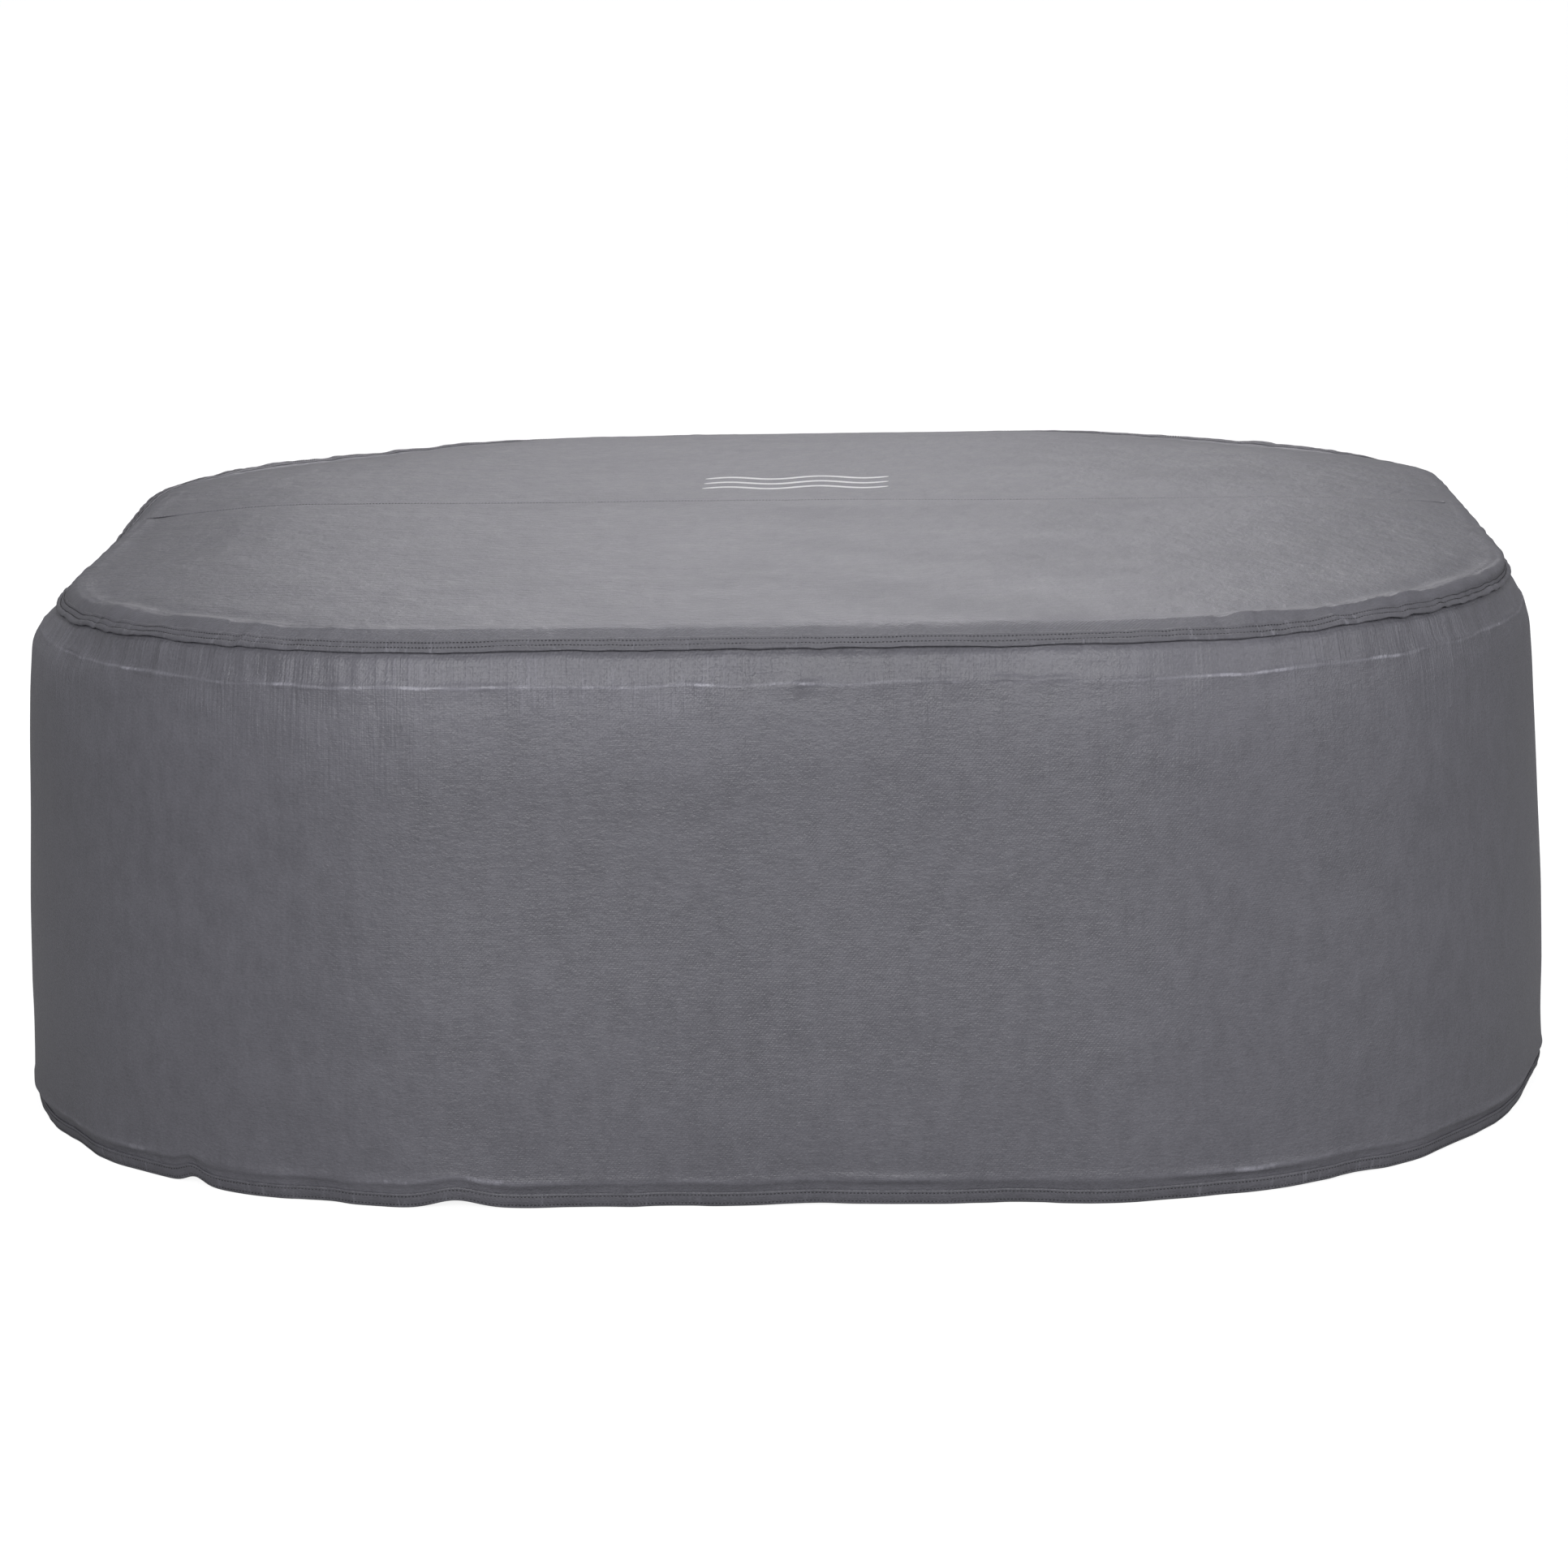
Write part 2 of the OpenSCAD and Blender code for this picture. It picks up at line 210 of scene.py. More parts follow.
def wall_push(s, z, fine):
    """How far the cloth stands out of the taut wall."""
    s, z = np.broadcast_arrays(np.asarray(s, float), np.asarray(z, float))
    body = ramp(z, 20 * MM, 140 * MM) * ramp(z, RIDGE_Z, RIDGE_Z - 160 * MM)
    push = 1.8 * MM * cloud(1, s, z, 520 * MM, 300 * MM) * body
    push += 0.8 * MM * cloud(2, s, z, 210 * MM, 170 * MM) * body
    # the hem's elastic pulls the cloth in at the gathers and lets it bow out between them
    pinch = near_gather(s, 60 * MM)[0]
    low = ramp(z, 150 * MM, 0)
    push += low * (1.2 * MM - 3.4 * MM * pinch)
    push -= 2.0 * MM * ramp(z, 48 * MM, 6 * MM) * near_gather(s, 13 * MM)[0]
    push += 2.6 * MM * ramp(z, 90 * MM, 0) * drift(3, s, 120 * MM)
    push += 4 * MM * ramp(z, 130 * MM, 0) * bell(s - MID_FRONT + 1.02, 0.22)
    if not fine:
        return push
    # long soft folds that hang from the ridge
    hang = ramp(z, RIDGE_Z - 330 * MM, RIDGE_Z - 40 * MM) * ramp(z, RIDGE_Z + 4 * MM, RIDGE_Z - 10 * MM)
    push = push + 0.7 * MM * hang * cloud(4, s, z, 62 * MM, 240 * MM)
    push += 0.34 * MM * hang * cloud(5, s, z, 24 * MM, 110 * MM)
    # puckers of the sewn edge, strongest in the corners and in patches
    patch = 0.35 + 0.8 * ramp(drift(6, s, 190 * MM), -0.3, 0.6) + 0.7 * cornered(s)
    edge = ramp(z, RIDGE_Z - 22 * MM, RIDGE_Z) * ramp(z, SEAM_Z, SEAM_Z - 14 * MM)
    push += 1.15 * MM * edge * patch * cloud(7, s, z, 24 * MM, 60 * MM)
    push += 0.85 * MM * edge * patch * cloud(8, s, z, 11 * MM, 26 * MM)
    # the ridge itself, a fold line that comes and goes
    keep = 0.12 + 0.88 * ramp(drift(9, s, 30 * MM), -0.2, 0.45)
    ridge_z = RIDGE_Z - ridge_run(s) + 1.2 * MM * drift(10, s, 60 * MM)
    push += 1.6 * MM * keep * bell(z - ridge_z, 2.7 * MM)
    push += 0.6 * MM * keep * bell(z - ridge_z + 5 * MM, 6 * MM)
    # the fold over the hem
    hem_z = HEM_RIDGE_Z + 2.2 * MM * drift(11, s, 110 * MM)
    keep = 0.4 + 0.6 * ramp(drift(12, s, 130 * MM), -0.5, 0.5)
    push += 2.3 * MM * keep * bell(z - hem_z, 4.6 * MM)
    push -= 1.7 * MM * keep * bell(z - hem_z + 10 * MM, 5 * MM)
    # small pleats at the gathers
    pinch, away = near_gather(s, 38 * MM)
    push += 1.1 * MM * ramp(z, 64 * MM, 10 * MM) * pinch * np.cos(away / (7.5 * MM))
    push += 0.8 * MM * ramp(z, 80 * MM, 15 * MM) * cloud(13, s, z, 34 * MM, 60 * MM)
    # one long crease that climbs from the gather right of the middle
    climb = ramp(z, 300 * MM, 120 * MM) * ramp(z, 20 * MM, 60 * MM)
    push -= 1.0 * MM * climb * bell(s - GATHER_START, 9 * MM)
    return push


def left_side(s):
    """1 on the left side, where the top's edge has slipped down, and 0 elsewhere."""
    s = np.mod(s, PERIMETER)
    return ramp(s, 0.95, 1.75) * ramp(s, 2.6, 2.0)


def right_side(s):
    """1 on the right side, where the crest lies close over the seam, and 0 elsewhere."""
    s = np.mod(s, PERIMETER)
    return ramp(s, 3.6, 4.25) * ramp(s, 5.6, 5.1)


# At each side: how far in the seam is drawn, how much nearer to the seam the crest lies, and how far
# down the seam has slipped.
LEFT_IN, LEFT_NEARER, LEFT_DOWN = 18 * MM, 13 * MM, 12 * MM
RIGHT_IN, RIGHT_NEARER = 11 * MM, 25 * MM
SLIP_FROM_Z = 545 * MM                       # the height over which the wall follows the slipped seam


def front_rise(s):
    """How much higher the sewn edge is held along the front; it hangs lower at the back corners."""
    t = np.abs(np.mod(s, PERIMETER) - MID_FRONT)
    return 8 * MM * ramp(t, 1.15, 0.75) - 5 * MM * ramp(t, 1.8, 2.15) * ramp(t, 2.8, 2.45)


def seam_wave(s):
    """How far the sewn edge wanders up and down, most in the corners."""
    wave = 1.9 * MM * drift(61, s, 150 * MM) * (0.6 + 0.4 * cornered(s))
    return wave + 1.6 * MM * drift(62, s, 46 * MM) * (0.25 + 0.75 * cornered(s))


def wall_point(s, z, out=0.0, fine=True):
    """Points of the wall's face at arc lengths s and heights z, moved out along its normal."""
    s, z = np.broadcast_arrays(np.asarray(s, float), np.asarray(z, float))
    places, normals = outline(s)
    calm = port_calm(s, z)
    moved = z + ridge_run(s) * bell(z - RIDGE_Z, 20 * MM) if fine else z
    slip = ramp(z, SLIP_FROM_Z, SEAM_Z + 4 * MM)
    drawn = (LEFT_IN * left_side(s) + RIGHT_IN * right_side(s)) * slip
    inset = (1 - calm) * wall_line(moved) + calm * flat_line(z) + drawn
    step = 1 * MM
    lean = (1 - calm) * (wall_line(z + step) - wall_line(z - step)) + calm * (
        flat_line(z + step) - flat_line(z - step))
    tilt = np.arctan(lean / (2 * step))
    reach = out + (1 - calm) * wall_push(s, z, fine)
    lift = (1 - calm) * hem_lift(s) * ramp(z, 120 * MM, 0)
    lift = lift + seam_wave(s) * ramp(z, RIDGE_Z - 12 * MM, SEAM_Z - 6 * MM)
    lift = lift + front_rise(s) * ramp(z, RIDGE_Z, SEAM_Z - 3 * MM) - LEFT_DOWN * left_side(s) * slip
    xy = places - normals * (inset - reach * np.cos(tilt))[..., None]
    return np.concatenate([xy, (z + reach * np.sin(tilt) + lift)[..., None]], -1)


# ---------------------------------------------------------------- the top's face
CREST_INSET = 71 * MM
TOP_STEPS = [
    (SEW_INSET, SEAM_Z), (54 * MM, SEAM_Z + 9.2 * MM), (CREST_INSET, SEAM_Z + 18.2 * MM),
    (110 * MM, SEAM_Z + 21.6 * MM), (160 * MM, SEAM_Z + 24.8 * MM), (220 * MM, SEAM_Z + 27.4 * MM),
    (290 * MM, TOP_Z - 0.8 * MM), (900 * MM, TOP_Z)
]
edge_line, crest_line = rounded_line(TOP_STEPS, 2.4 * MM), rounded_line(TOP_STEPS, 8.5 * MM)


def top_line(inset):
    """Height of the taut top by inset: crisp at the sewn edge and softly rounded at the crest."""
    soft = ramp(inset, SEW_INSET + 2 * MM, SEW_INSET + 20 * MM)
    return edge_line(inset) * (1 - soft) + crest_line(inset) * soft


def top_sag(x, y, inset):
    """How far the top's cloth stands over its section: it falls a little towards the back."""
    away = ramp(inset, SEW_INSET + 10 * MM, CREST_INSET + 40 * MM)
    sag = -9 * MM * ramp(y, -0.35, 0.85) - 10 * MM * ramp(y, 0.2, 0.8) * ramp(np.abs(x), 0.25, 0.65)
    sag = sag * ramp(inset, SEW_INSET, CREST_INSET)
    sag = sag + away * 0.9 * MM * cloud(21, x, y, 340 * MM, 260 * MM, OPEN)
    sag += away * 0.42 * MM * cloud(22, x, y, 120 * MM, 90 * MM, OPEN)
    sag += away * 0.13 * MM * cloud(23, x, y, 46 * MM, 30 * MM, OPEN)
    return sag


def crest_fold(s):
    """How sharp the fold of the crest is: it is sharpest at the right end of the front."""
    t = np.mod(s, PERIMETER) - MID_FRONT
    sharp = 0.3 + 0.25 * ramp(drift(36, s, 330 * MM), -0.2, 0.5)
    sharp = sharp + 0.7 * ramp(t, 0.32, 0.62) * ramp(t, 1.25, 0.95)
    sharp = sharp + 0.4 * ramp(t, -0.5, -0.7) * ramp(t, -1.25, -1.0)
    return sharp * (1 - 0.85 * bell(t - 0.16, 0.26))


def crest_place(s):
    """Inset of the crest, which wanders a little."""
    return CREST_INSET + 3 * MM * drift(35, s, 150 * MM)


def toward_front(s):
    """1 along the front and 0.4 along the back, where the crest is softer."""
    return 0.4 + 0.6 * ramp(np.abs(np.mod(s, PERIMETER) - MID_FRONT), 2.1, 1.5)


def crest_valley(s, inset):
    """The hollow behind the crest, which the plies under the shell share."""
    fold = crest_fold(s) * toward_front(s)
    behind = inset - crest_place(s) - 22 * MM
    return -3.3 * MM * fold ** 1.5 * bell(behind, np.where(behind < 0, 11 * MM, 27 * MM))


def shoulder_push(s, inset):
    """Puckers that run from the seam to the crest, and the fold of the crest."""
    front = toward_front(s)
    patch = 0.3 + 0.5 * ramp(drift(31, s, 160 * MM), -0.2, 0.6) + 1.5 * cornered(s) ** 2
    patch = patch * front
    rise = ramp(inset, SEW_INSET - 2 * MM, SEW_INSET + 22 * MM)
    fall = ramp(inset, CREST_INSET + 34 * MM, CREST_INSET - 2 * MM)
    push = 1.4 * MM * (0.25 + 0.75 * rise) * fall * patch * cloud(32, s, inset, 27 * MM, 90 * MM)
    push = push + 0.8 * MM * fall * patch * cloud(33, s, inset, 13 * MM, 40 * MM)
    keep = 0.35 + 0.65 * ramp(drift(34, s, 80 * MM), -0.4, 0.5)
    crest = crest_place(s)
    fold = crest_fold(s) * front
    push += 1.5 * MM * keep * fold * bell(inset - crest, 3.4 * MM)
    return push - 0.9 * MM * keep * fold * bell(inset - crest - 7 * MM, 4 * MM)


def slipped(s, inset):
    """How far in, and down, the top's edge has slipped."""
    left, right, crest = left_side(s), right_side(s), ramp(inset, SEW_INSET, CREST_INSET)
    fade = ramp(inset, 280 * MM, CREST_INSET + 12 * MM)
    pulled = left * (LEFT_IN - LEFT_NEARER * crest) + right * (RIGHT_IN - RIGHT_NEARER * crest)
    return pulled * fade, left * fade * LEFT_DOWN * (1 - crest / 3)


def top_point(s, inset, out=0.0, fine=True):
    """Points of the top's face by arc length and inset, moved out along its normal."""
    s, inset = np.broadcast_arrays(np.asarray(s, float), np.asarray(inset, float))
    places, normals = outline(s)
    step = 1 * MM
    slope = (top_line(inset + step) - top_line(inset - step)) / (2 * step)
    tilt = np.arctan(slope)
    reach = out + crest_valley(s, inset) + (shoulder_push(s, inset) if fine else 0)
    pulled, dropped = slipped(s, inset)
    xy = places - normals * (inset + pulled - reach * np.sin(tilt))[..., None]
    z = top_line(inset) + reach * np.cos(tilt) + top_sag(xy[..., 0], xy[..., 1], inset) - dropped
    z = z + seam_wave(s) * ramp(inset, SEW_INSET + 26 * MM, SEW_INSET + 4 * MM)
    z = z + front_rise(s) * ramp(inset, 230 * MM, 20 * MM)
    return np.concatenate([xy, z[..., None]], -1)


def top_height(x, y):
    """Height of the top's face away from its edge."""
    inset = inset_at(x, y)
    return top_line(inset) + top_sag(x, y, inset)


# ---------------------------------------------------------------- meshes
def add_piece(name, points, faces, material, uv=None, smooth=True):
    """A mesh object; uv holds a pair for each corner of each face."""
    mesh = bpy.data.meshes.new(name)
    mesh.from_pydata(np.asarray(points, float).reshape(-1, 3).tolist(), [], [list(f) for f in faces])
    if uv is not None:
        layer = mesh.uv_layers.new(name="cut")
        layer.data.foreach_set("uv", np.asarray(uv, np.float32).ravel())
    mesh.polygons.foreach_set("use_smooth", np.full(len(mesh.polygons), smooth))
    mesh.materials.append(material)
    mesh.update()
    piece = bpy.data.objects.new(name, mesh)
    bpy.context.scene.collection.objects.link(piece)
    return piece


def grid_cells(columns, rows, closed=False, skip=None):
    """The lower left corner of each cell of a grid, as column and row numbers."""
    i, j = np.meshgrid(np.arange(columns if closed else columns - 1), np.arange(rows - 1), indexing="ij")
    i, j = i.ravel(), j.ravel()
    if skip is not None:
        keep = ~skip(i, j)
        i, j = i[keep], j[keep]
    return i, j


def grid_piece(name, points, s, v, material, closed=False, skip=None):
    """A piece from a grid of points, with its place on the cut cloth, in metres, as its UVs."""
    columns, rows = points.shape[:2]
    i, j = grid_cells(columns, rows, closed, skip)
    corners = [(i, j), (i + 1, j), (i + 1, j + 1), (i, j + 1)]
    faces = np.stack([(a % columns) * rows + b for a, b in corners], -1)
    s = np.append(s, s[-1] + (s[-1] - s[-2])) if closed else s
    uv = np.stack([np.stack([s[a], v[b]], -1) for a, b in corners], 1)
    used = np.unique(faces)
    order = np.full(columns * rows, -1)
    order[used] = np.arange(len(used))
    return add_piece(name, points.reshape(-1, 3)[used], order[faces], material, uv)


def apply_modifiers(piece):
    """Writes the piece's modifiers into its mesh."""
    bpy.context.view_layer.update()
    graph = bpy.context.evaluated_depsgraph_get()
    mesh = bpy.data.meshes.new_from_object(piece.evaluated_get(graph), depsgraph=graph)
    piece.modifiers.clear()
    piece.data = mesh
    return piece


def thicken(piece, thickness):
    """Gives a sheet a thickness on the side away from its normals."""
    solid = piece.modifiers.new("thickness", "SOLIDIFY")
    solid.thickness = thickness
    solid.offset = -1
    solid.use_rim = True
    return apply_modifiers(piece)


def section_piece(name, loops, s, section_length, material, closed):
    """A piece swept along s: loops holds a closed section of points at each s."""
    columns, count = loops.shape[:2]
    i = np.repeat(np.arange(columns if closed else columns - 1), count)
    j = np.tile(np.arange(count), columns if closed else columns - 1)
    ii, jj = (i + 1) % columns, (j + 1) % count
    faces = np.stack([i * count + j, ii * count + j, ii * count + jj, i * count + jj], -1)
    s = np.append(s, s[-1] + (s[-1] - s[-2]))
    v = np.append(section_length, section_length[-1] + (section_length[-1] - section_length[-2]))
    corners = ((i, j), (i + 1, j), (i + 1, j + 1), (i, j + 1))
    uv = np.stack([np.stack([s[a], v[b]], -1) for a, b in corners], 1)
    faces, uv = faces.tolist(), uv.reshape(-1, 2).tolist()
    if not closed:
        first, last = list(range(count)), [(columns - 1) * count + k for k in range(count)]
        faces += [first[::-1], last]
        uv += [[0.0, 0.0]] * (2 * count)
    return add_piece(name, loops.reshape(-1, 3), faces, material, uv)


def samples(*stretches):
    """Numbers along several stretches, each (start, end, largest step), with shared ends kept once."""
    out = []
    for start, end, step in stretches:
        count = max(1, math.ceil(abs(end - start) / step - 1e-9))
        out.append(np.linspace(start, end, count + 1)[:-1])
    return np.append(np.concatenate(out), stretches[-1][1])


def lengths_along(points):
    """The length of a line up to each of its points."""
    return np.append(0, np.cumsum(np.linalg.norm(np.diff(points, axis=0), axis=1)))


def own(piece, body, slot, *nodes):
    """The piece stands for CAD nodes, which are hidden, and rides on a body, if one is given; slot is not
    used.
    """
    if body:
        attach(piece, body)
    if nodes:
        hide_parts(*nodes)
    return piece


# ---------------------------------------------------------------- materials
class Shader:
    """A material built round one Principled BSDF."""

    def __init__(self, name, color, roughness, **sockets):
        self.material = bpy.data.materials.new(name)
        self.material.use_nodes = True
        self.tree = self.material.node_tree
        self.bsdf = next(n for n in self.tree.nodes if n.type == "BSDF_PRINCIPLED")
        self.bsdf.inputs["Base Color"].default_value = (*color, 1)
        self.bsdf.inputs["Roughness"].default_value = roughness
        for socket, value in sockets.items():
            self.bsdf.inputs[socket.replace("_", " ")].default_value = value
        self.coordinates = self.tree.nodes.new("ShaderNodeTexCoord")

    def node(self, kind, inputs=(), **settings):
        made = self.tree.nodes.new("ShaderNode" + kind)
        for key, value in settings.items():
            setattr(made, key, value)
        for key, value in dict(inputs).items():
            if isinstance(value, bpy.types.NodeSocket):
                self.tree.links.new(value, made.inputs[key])
            else:
                made.inputs[key].default_value = value
        return made

    def place(self, source="UV", stretch=(1, 1), turn=0.0):
        """Coordinates in metres: of the cut cloth (UV) or of the object (Object)."""
        return self.node("Mapping", {
            "Vector": self.coordinates.outputs[source], "Scale": (*stretch, 1), "Rotation": (0, 0, turn)
        }).outputs[0]

    def noise(self, scale, detail=2.0, rough=0.5, stretch=(1, 1), source="UV"):
        return self.node("TexNoise", {
            "Vector": self.place(source, stretch), "Scale": scale, "Detail": detail, "Roughness": rough
        }).outputs["Fac"]

    def cells(self, scale, source="Object", **settings):
        """Distance from the middles of cells 1 / scale of a metre wide."""
        return self.node("TexVoronoi", {
            "Vector": self.place(source), "Scale": scale
        }, **settings).outputs["Distance"]

    def bands(self, pitch, distort=0.0, direction="X", turn=0.0):
        """Fine ribs that repeat after a pitch in metres."""
        return self.node("TexWave", {
            "Vector": self.place(turn=turn), "Scale": 2 * math.pi / 20 / pitch, "Distortion": distort,
            "Detail Scale": 1.0
        }, bands_direction=direction).outputs["Fac"]

    def math(self, operation, a, b=0.0):
        return self.node("Math", {0: a, 1: b}, operation=operation).outputs[0]

    def product(self, first, *others):
        for value in others:
            first = self.math("MULTIPLY", first, value)
        return first

    def total(self, *terms):
        """The sum of (value, factor) pairs."""
        values = [self.product(value, factor) for value, factor in terms]
        out = values[0]
        for value in values[1:]:
            out = self.math("ADD", out, value)
        return out

    def spread(self, value, low, high, to_low, to_high):
        return self.node("MapRange", {
            "Value": value, "From Min": low, "From Max": high, "To Min": to_low, "To Max": to_high
        }).outputs[0]

    def tint(self, value, dark, light):
        """Base colour between two colours."""
        mixed = self.node("Mix", data_type="RGBA")
        self.tree.links.new(value, mixed.inputs[0])
        mixed.inputs[6].default_value = (*dark, 1)
        mixed.inputs[7].default_value = (*light, 1)
        self.tree.links.new(mixed.outputs[2], self.bsdf.inputs["Base Color"])

    def rough(self, value):
        self.tree.links.new(value, self.bsdf.inputs["Roughness"])

    def bump(self, height, distance, strength=1.0):
        made = self.node("Bump", {"Height": height, "Distance": distance, "Strength": strength})
        self.tree.links.new(made.outputs[0], self.bsdf.inputs["Normal"])


def shade(color, factor):
    return tuple(c * factor for c in color)


def coated_cloth(name, color, roughness=0.42, uneven=1.0, ribs=False, creased=False):
    """Polyester with a satiny coating: a diagonal twill under a pebbled skin, with creases of storage; the
    creased and ribs cloths also have painted highlights and a painted sheen in their base colour.
    """
    look = Shader(name, color, roughness, Specular_IOR_Level=0.5)
    twill = look.bands(3.1 * MM, 1.4, turn=math.radians(38))
    weave = look.total((twill, 0.34 * uneven), (look.bands(2.3 * MM, 1.0, "Y"), 0.2))
    patch = look.spread(look.noise(1, 3, 0.6, (4, 6)), 0.4, 0.62, 0.25, 1)
    pebble = look.noise(260, 2, 0.6, (1, 1.5))
    relief = [(look.product(weave, patch), 1), (look.noise(520, 2, 0.6), 0.7), (pebble, 1.5),
              (look.noise(70, 3, 0.6, (1, 1.8)), 1.9 + 0.6 * uneven),
              (look.noise(26, 3, 0.55, (1, 0.6)), 3.6 + 1.6 * uneven)]
    mottle = look.total((look.noise(7, 4, 0.6), 0.6), (look.noise(1, 3, 0.6, (3, 14)), 0.4))
    blotch = look.noise(48, 4, 0.65, (1, 0.5))
    fleck = look.total((pebble, 0.4), (mottle, 0.25), (blotch, 0.35))
    level = look.spread(fleck, 0.36, 0.64, 0, 0.5)
    gloss = look.total((mottle, 0.5), (blotch, 0.5))
    rough = look.spread(gloss, 0.35, 0.65, roughness - 0.07, roughness + 0.07)
    if creased:
        # short creases across the tape where it is drawn up: bumped, and painted lighter as painted glints
        crossing = look.product(look.spread(look.noise(1, 3, 0.6, (105, 16)), 0.55, 0.7, 0, 1),
                                look.spread(look.noise(1, 2, 0.6, (5, 0)), 0.44, 0.58, 0.05, 1))
        relief.append((crossing, 3.0))
        # painted highlight: the base colour is lighter along the creases
        level = look.total((level, 1), (crossing, 1.1))
    if ribs:
        # fine upright pleats where the cloth is drawn in at the seam, in patches along the ridge
        up = look.node("SeparateXYZ", {"Vector": look.place()}).outputs["Y"]
        pleats = look.product(look.noise(1, 2, 0.5, (290, 16)), look.spread(up, 0.38, 0.56, 0, 1),
                              look.spread(up, 0.602, 0.596, 0, 1), patch)
        relief.append((pleats, 4.4))
        # painted sheen: the base colour is lighter in soft patches just under the ridge, where the light's
        # broad highlight falls on the upper wall
        painted_sheen = look.product(look.spread(look.noise(1, 3, 0.6, (2.4, 5)), 0.42, 0.6, 0.06, 0.3),
                             look.spread(up, 0.46, 0.55, 0, 1), look.spread(up, 0.612, 0.6, 0, 1))
        # painted highlights: broken light dashes in the base colour along the fold under the seam and the
        # fold over the hem, where glints fall; the coating is a little glossier there too
        rise = look.math("SUBTRACT", look.total((up, 1), (look.noise(1, 2, 0.5, (9, 0)), 0.012)), 0.006)
        upper = look.math("ABSOLUTE", look.math("SUBTRACT", rise, RIDGE_Z - 1 * MM))
        lower = look.math("ABSOLUTE", look.math("SUBTRACT", rise, HEM_RIDGE_Z))
        folds = look.math("ADD", look.spread(upper, 0.3 * MM, 2.3 * MM, 1, 0),
                          look.spread(lower, 0.6 * MM, 4 * MM, 0.45, 0))
        dashes = look.spread(look.noise(1, 5, 0.78, (17, 9)), 0.54, 0.7, 0.17, 1)
        here = look.spread(look.noise(1, 2, 0.6, (3.1, 0)), 0.42, 0.6, 0.3, 1.9)
        painted_fold_glint = look.product(folds, dashes, here)
        # the base colour takes the painted fold glints, the painted sheen and painted highlights on the
        # pleats
        level = look.total((level, 1), (painted_fold_glint, 3.0), (painted_sheen, 1),
                           (look.spread(pleats, 0.42, 0.62, 0, 1), 0.35))
        rough = look.total((rough, 1), (painted_fold_glint, -0.12))
    look.bump(look.total(*relief), 0.36 * MM)
    look.tint(look.product(level, 0.45), shade(color, 0.82), shade(color, 2.42))
    look.rough(rough)
    return look.material


def foil_cloth(name):
    """Liner: a metallised film on a woven scrim, crinkled by folding."""
    color = (0.55, 0.54, 0.57)
    look = Shader(name, color, 0.34, Metallic=0.75)
    scrim = look.math("ADD", look.bands(3.2 * MM, 0.3), look.bands(3.2 * MM, 0.3, "Y"))
    cells = look.cells(38.0, "UV", feature="SMOOTH_F1")
    fine = look.noise(90, 4, 0.6)
    look.bump(look.total((cells, 2.2), (fine, 1.2), (scrim, 0.08)), 0.5 * MM)
    look.tint(look.spread(fine, 0.35, 0.65, 0, 1), shade(color, 0.85), shade(color, 1.1))
    look.rough(look.spread(cells, 0, 0.6, 0.28, 0.44))
    return look.material


def foam(name):
    """Closed-cell foam sheet."""
    color = (0.8, 0.8, 0.78)
    look = Shader(name, color, 0.75)
    cells = look.cells(420.0)
    look.bump(cells, 0.25 * MM)
    look.tint(look.spread(cells, 0, 0.7, 0, 1), shade(color, 0.88), color)
    return look.material


def webbing(name, color, pitch=1.9 * MM):
    """Woven polypropylene: ribs across the strap with a herringbone between them."""
    look = Shader(name, color, 0.6)
    left, right = (look.bands(pitch * 0.8, 0.2, turn=math.radians(lean)) for lean in (50, -50))
    height = look.math("ADD", look.bands(pitch, 0.4), look.math("MAXIMUM", left, right))
    look.bump(look.total((height, 1), (look.noise(900, 3, 0.7), 0.5)), 0.3 * MM)
    look.tint(look.spread(height, 0.4, 1.8, 0, 1), shade(color, 0.55), shade(color, 1.35))
    return look.material


def loop_pile(name):
    """Brushed loop side of hook-and-loop."""
    color = (0.06, 0.06, 0.065)
    look = Shader(name, color, 0.9, Sheen_Weight=0.6, Sheen_Roughness=0.5)
    nap = look.noise(260, 5, 0.75, source="Object")
    look.bump(look.total((look.cells(900.0), 0.6), (nap, 1)), 0.9 * MM)
    look.tint(look.spread(nap, 0.35, 0.7, 0, 1), shade(color, 0.5), shade(color, 1.7))
    return look.material


def hook_tape(name):
    """Hook side of hook-and-loop: rows of moulded hooks."""
    color = (0.03, 0.03, 0.034)
    look = Shader(name, color, 0.38)
    hooks = look.product(look.bands(1.6 * MM), look.bands(1.3 * MM, 0, "Y"))
    look.bump(hooks, 0.7 * MM)
    look.tint(look.spread(hooks, 0, 1, 0, 1), shade(color, 0.5), shade(color, 1.8))
    return look.material


def thread(name, color):
    """Twisted polyester sewing thread."""
    look = Shader(name, color, 0.55)
    twist = look.noise(2600, 2, source="Object")
    look.bump(twist, 0.08 * MM)
    look.tint(look.spread(twist, 0.3, 0.7, 0, 1), shade(color, 0.7), shade(color, 1.2))
    return look.material


def printed_ink(name):
    """White screen print, slightly broken by the weave under it."""
    color = (0.82, 0.82, 0.83)
    look = Shader(name, color, 0.5)
    grain = look.noise(700, 3, 0.6, source="Object")
    look.bump(grain, 0.06 * MM)
    look.tint(look.spread(grain, 0.3, 0.6, 0, 1), shade(color, 0.8), color)
    return look.material


def elastic(name):
    """Braided cover of an elastic cord."""
    color = (0.04, 0.04, 0.042)
    look = Shader(name, color, 0.7)
    braid = look.math("MAXIMUM", look.bands(1.4 * MM, turn=0.7), look.bands(1.4 * MM, turn=-0.7))
    look.bump(braid, 0.3 * MM)
    look.tint(braid, shade(color, 0.6), shade(color, 1.6))
    return look.material


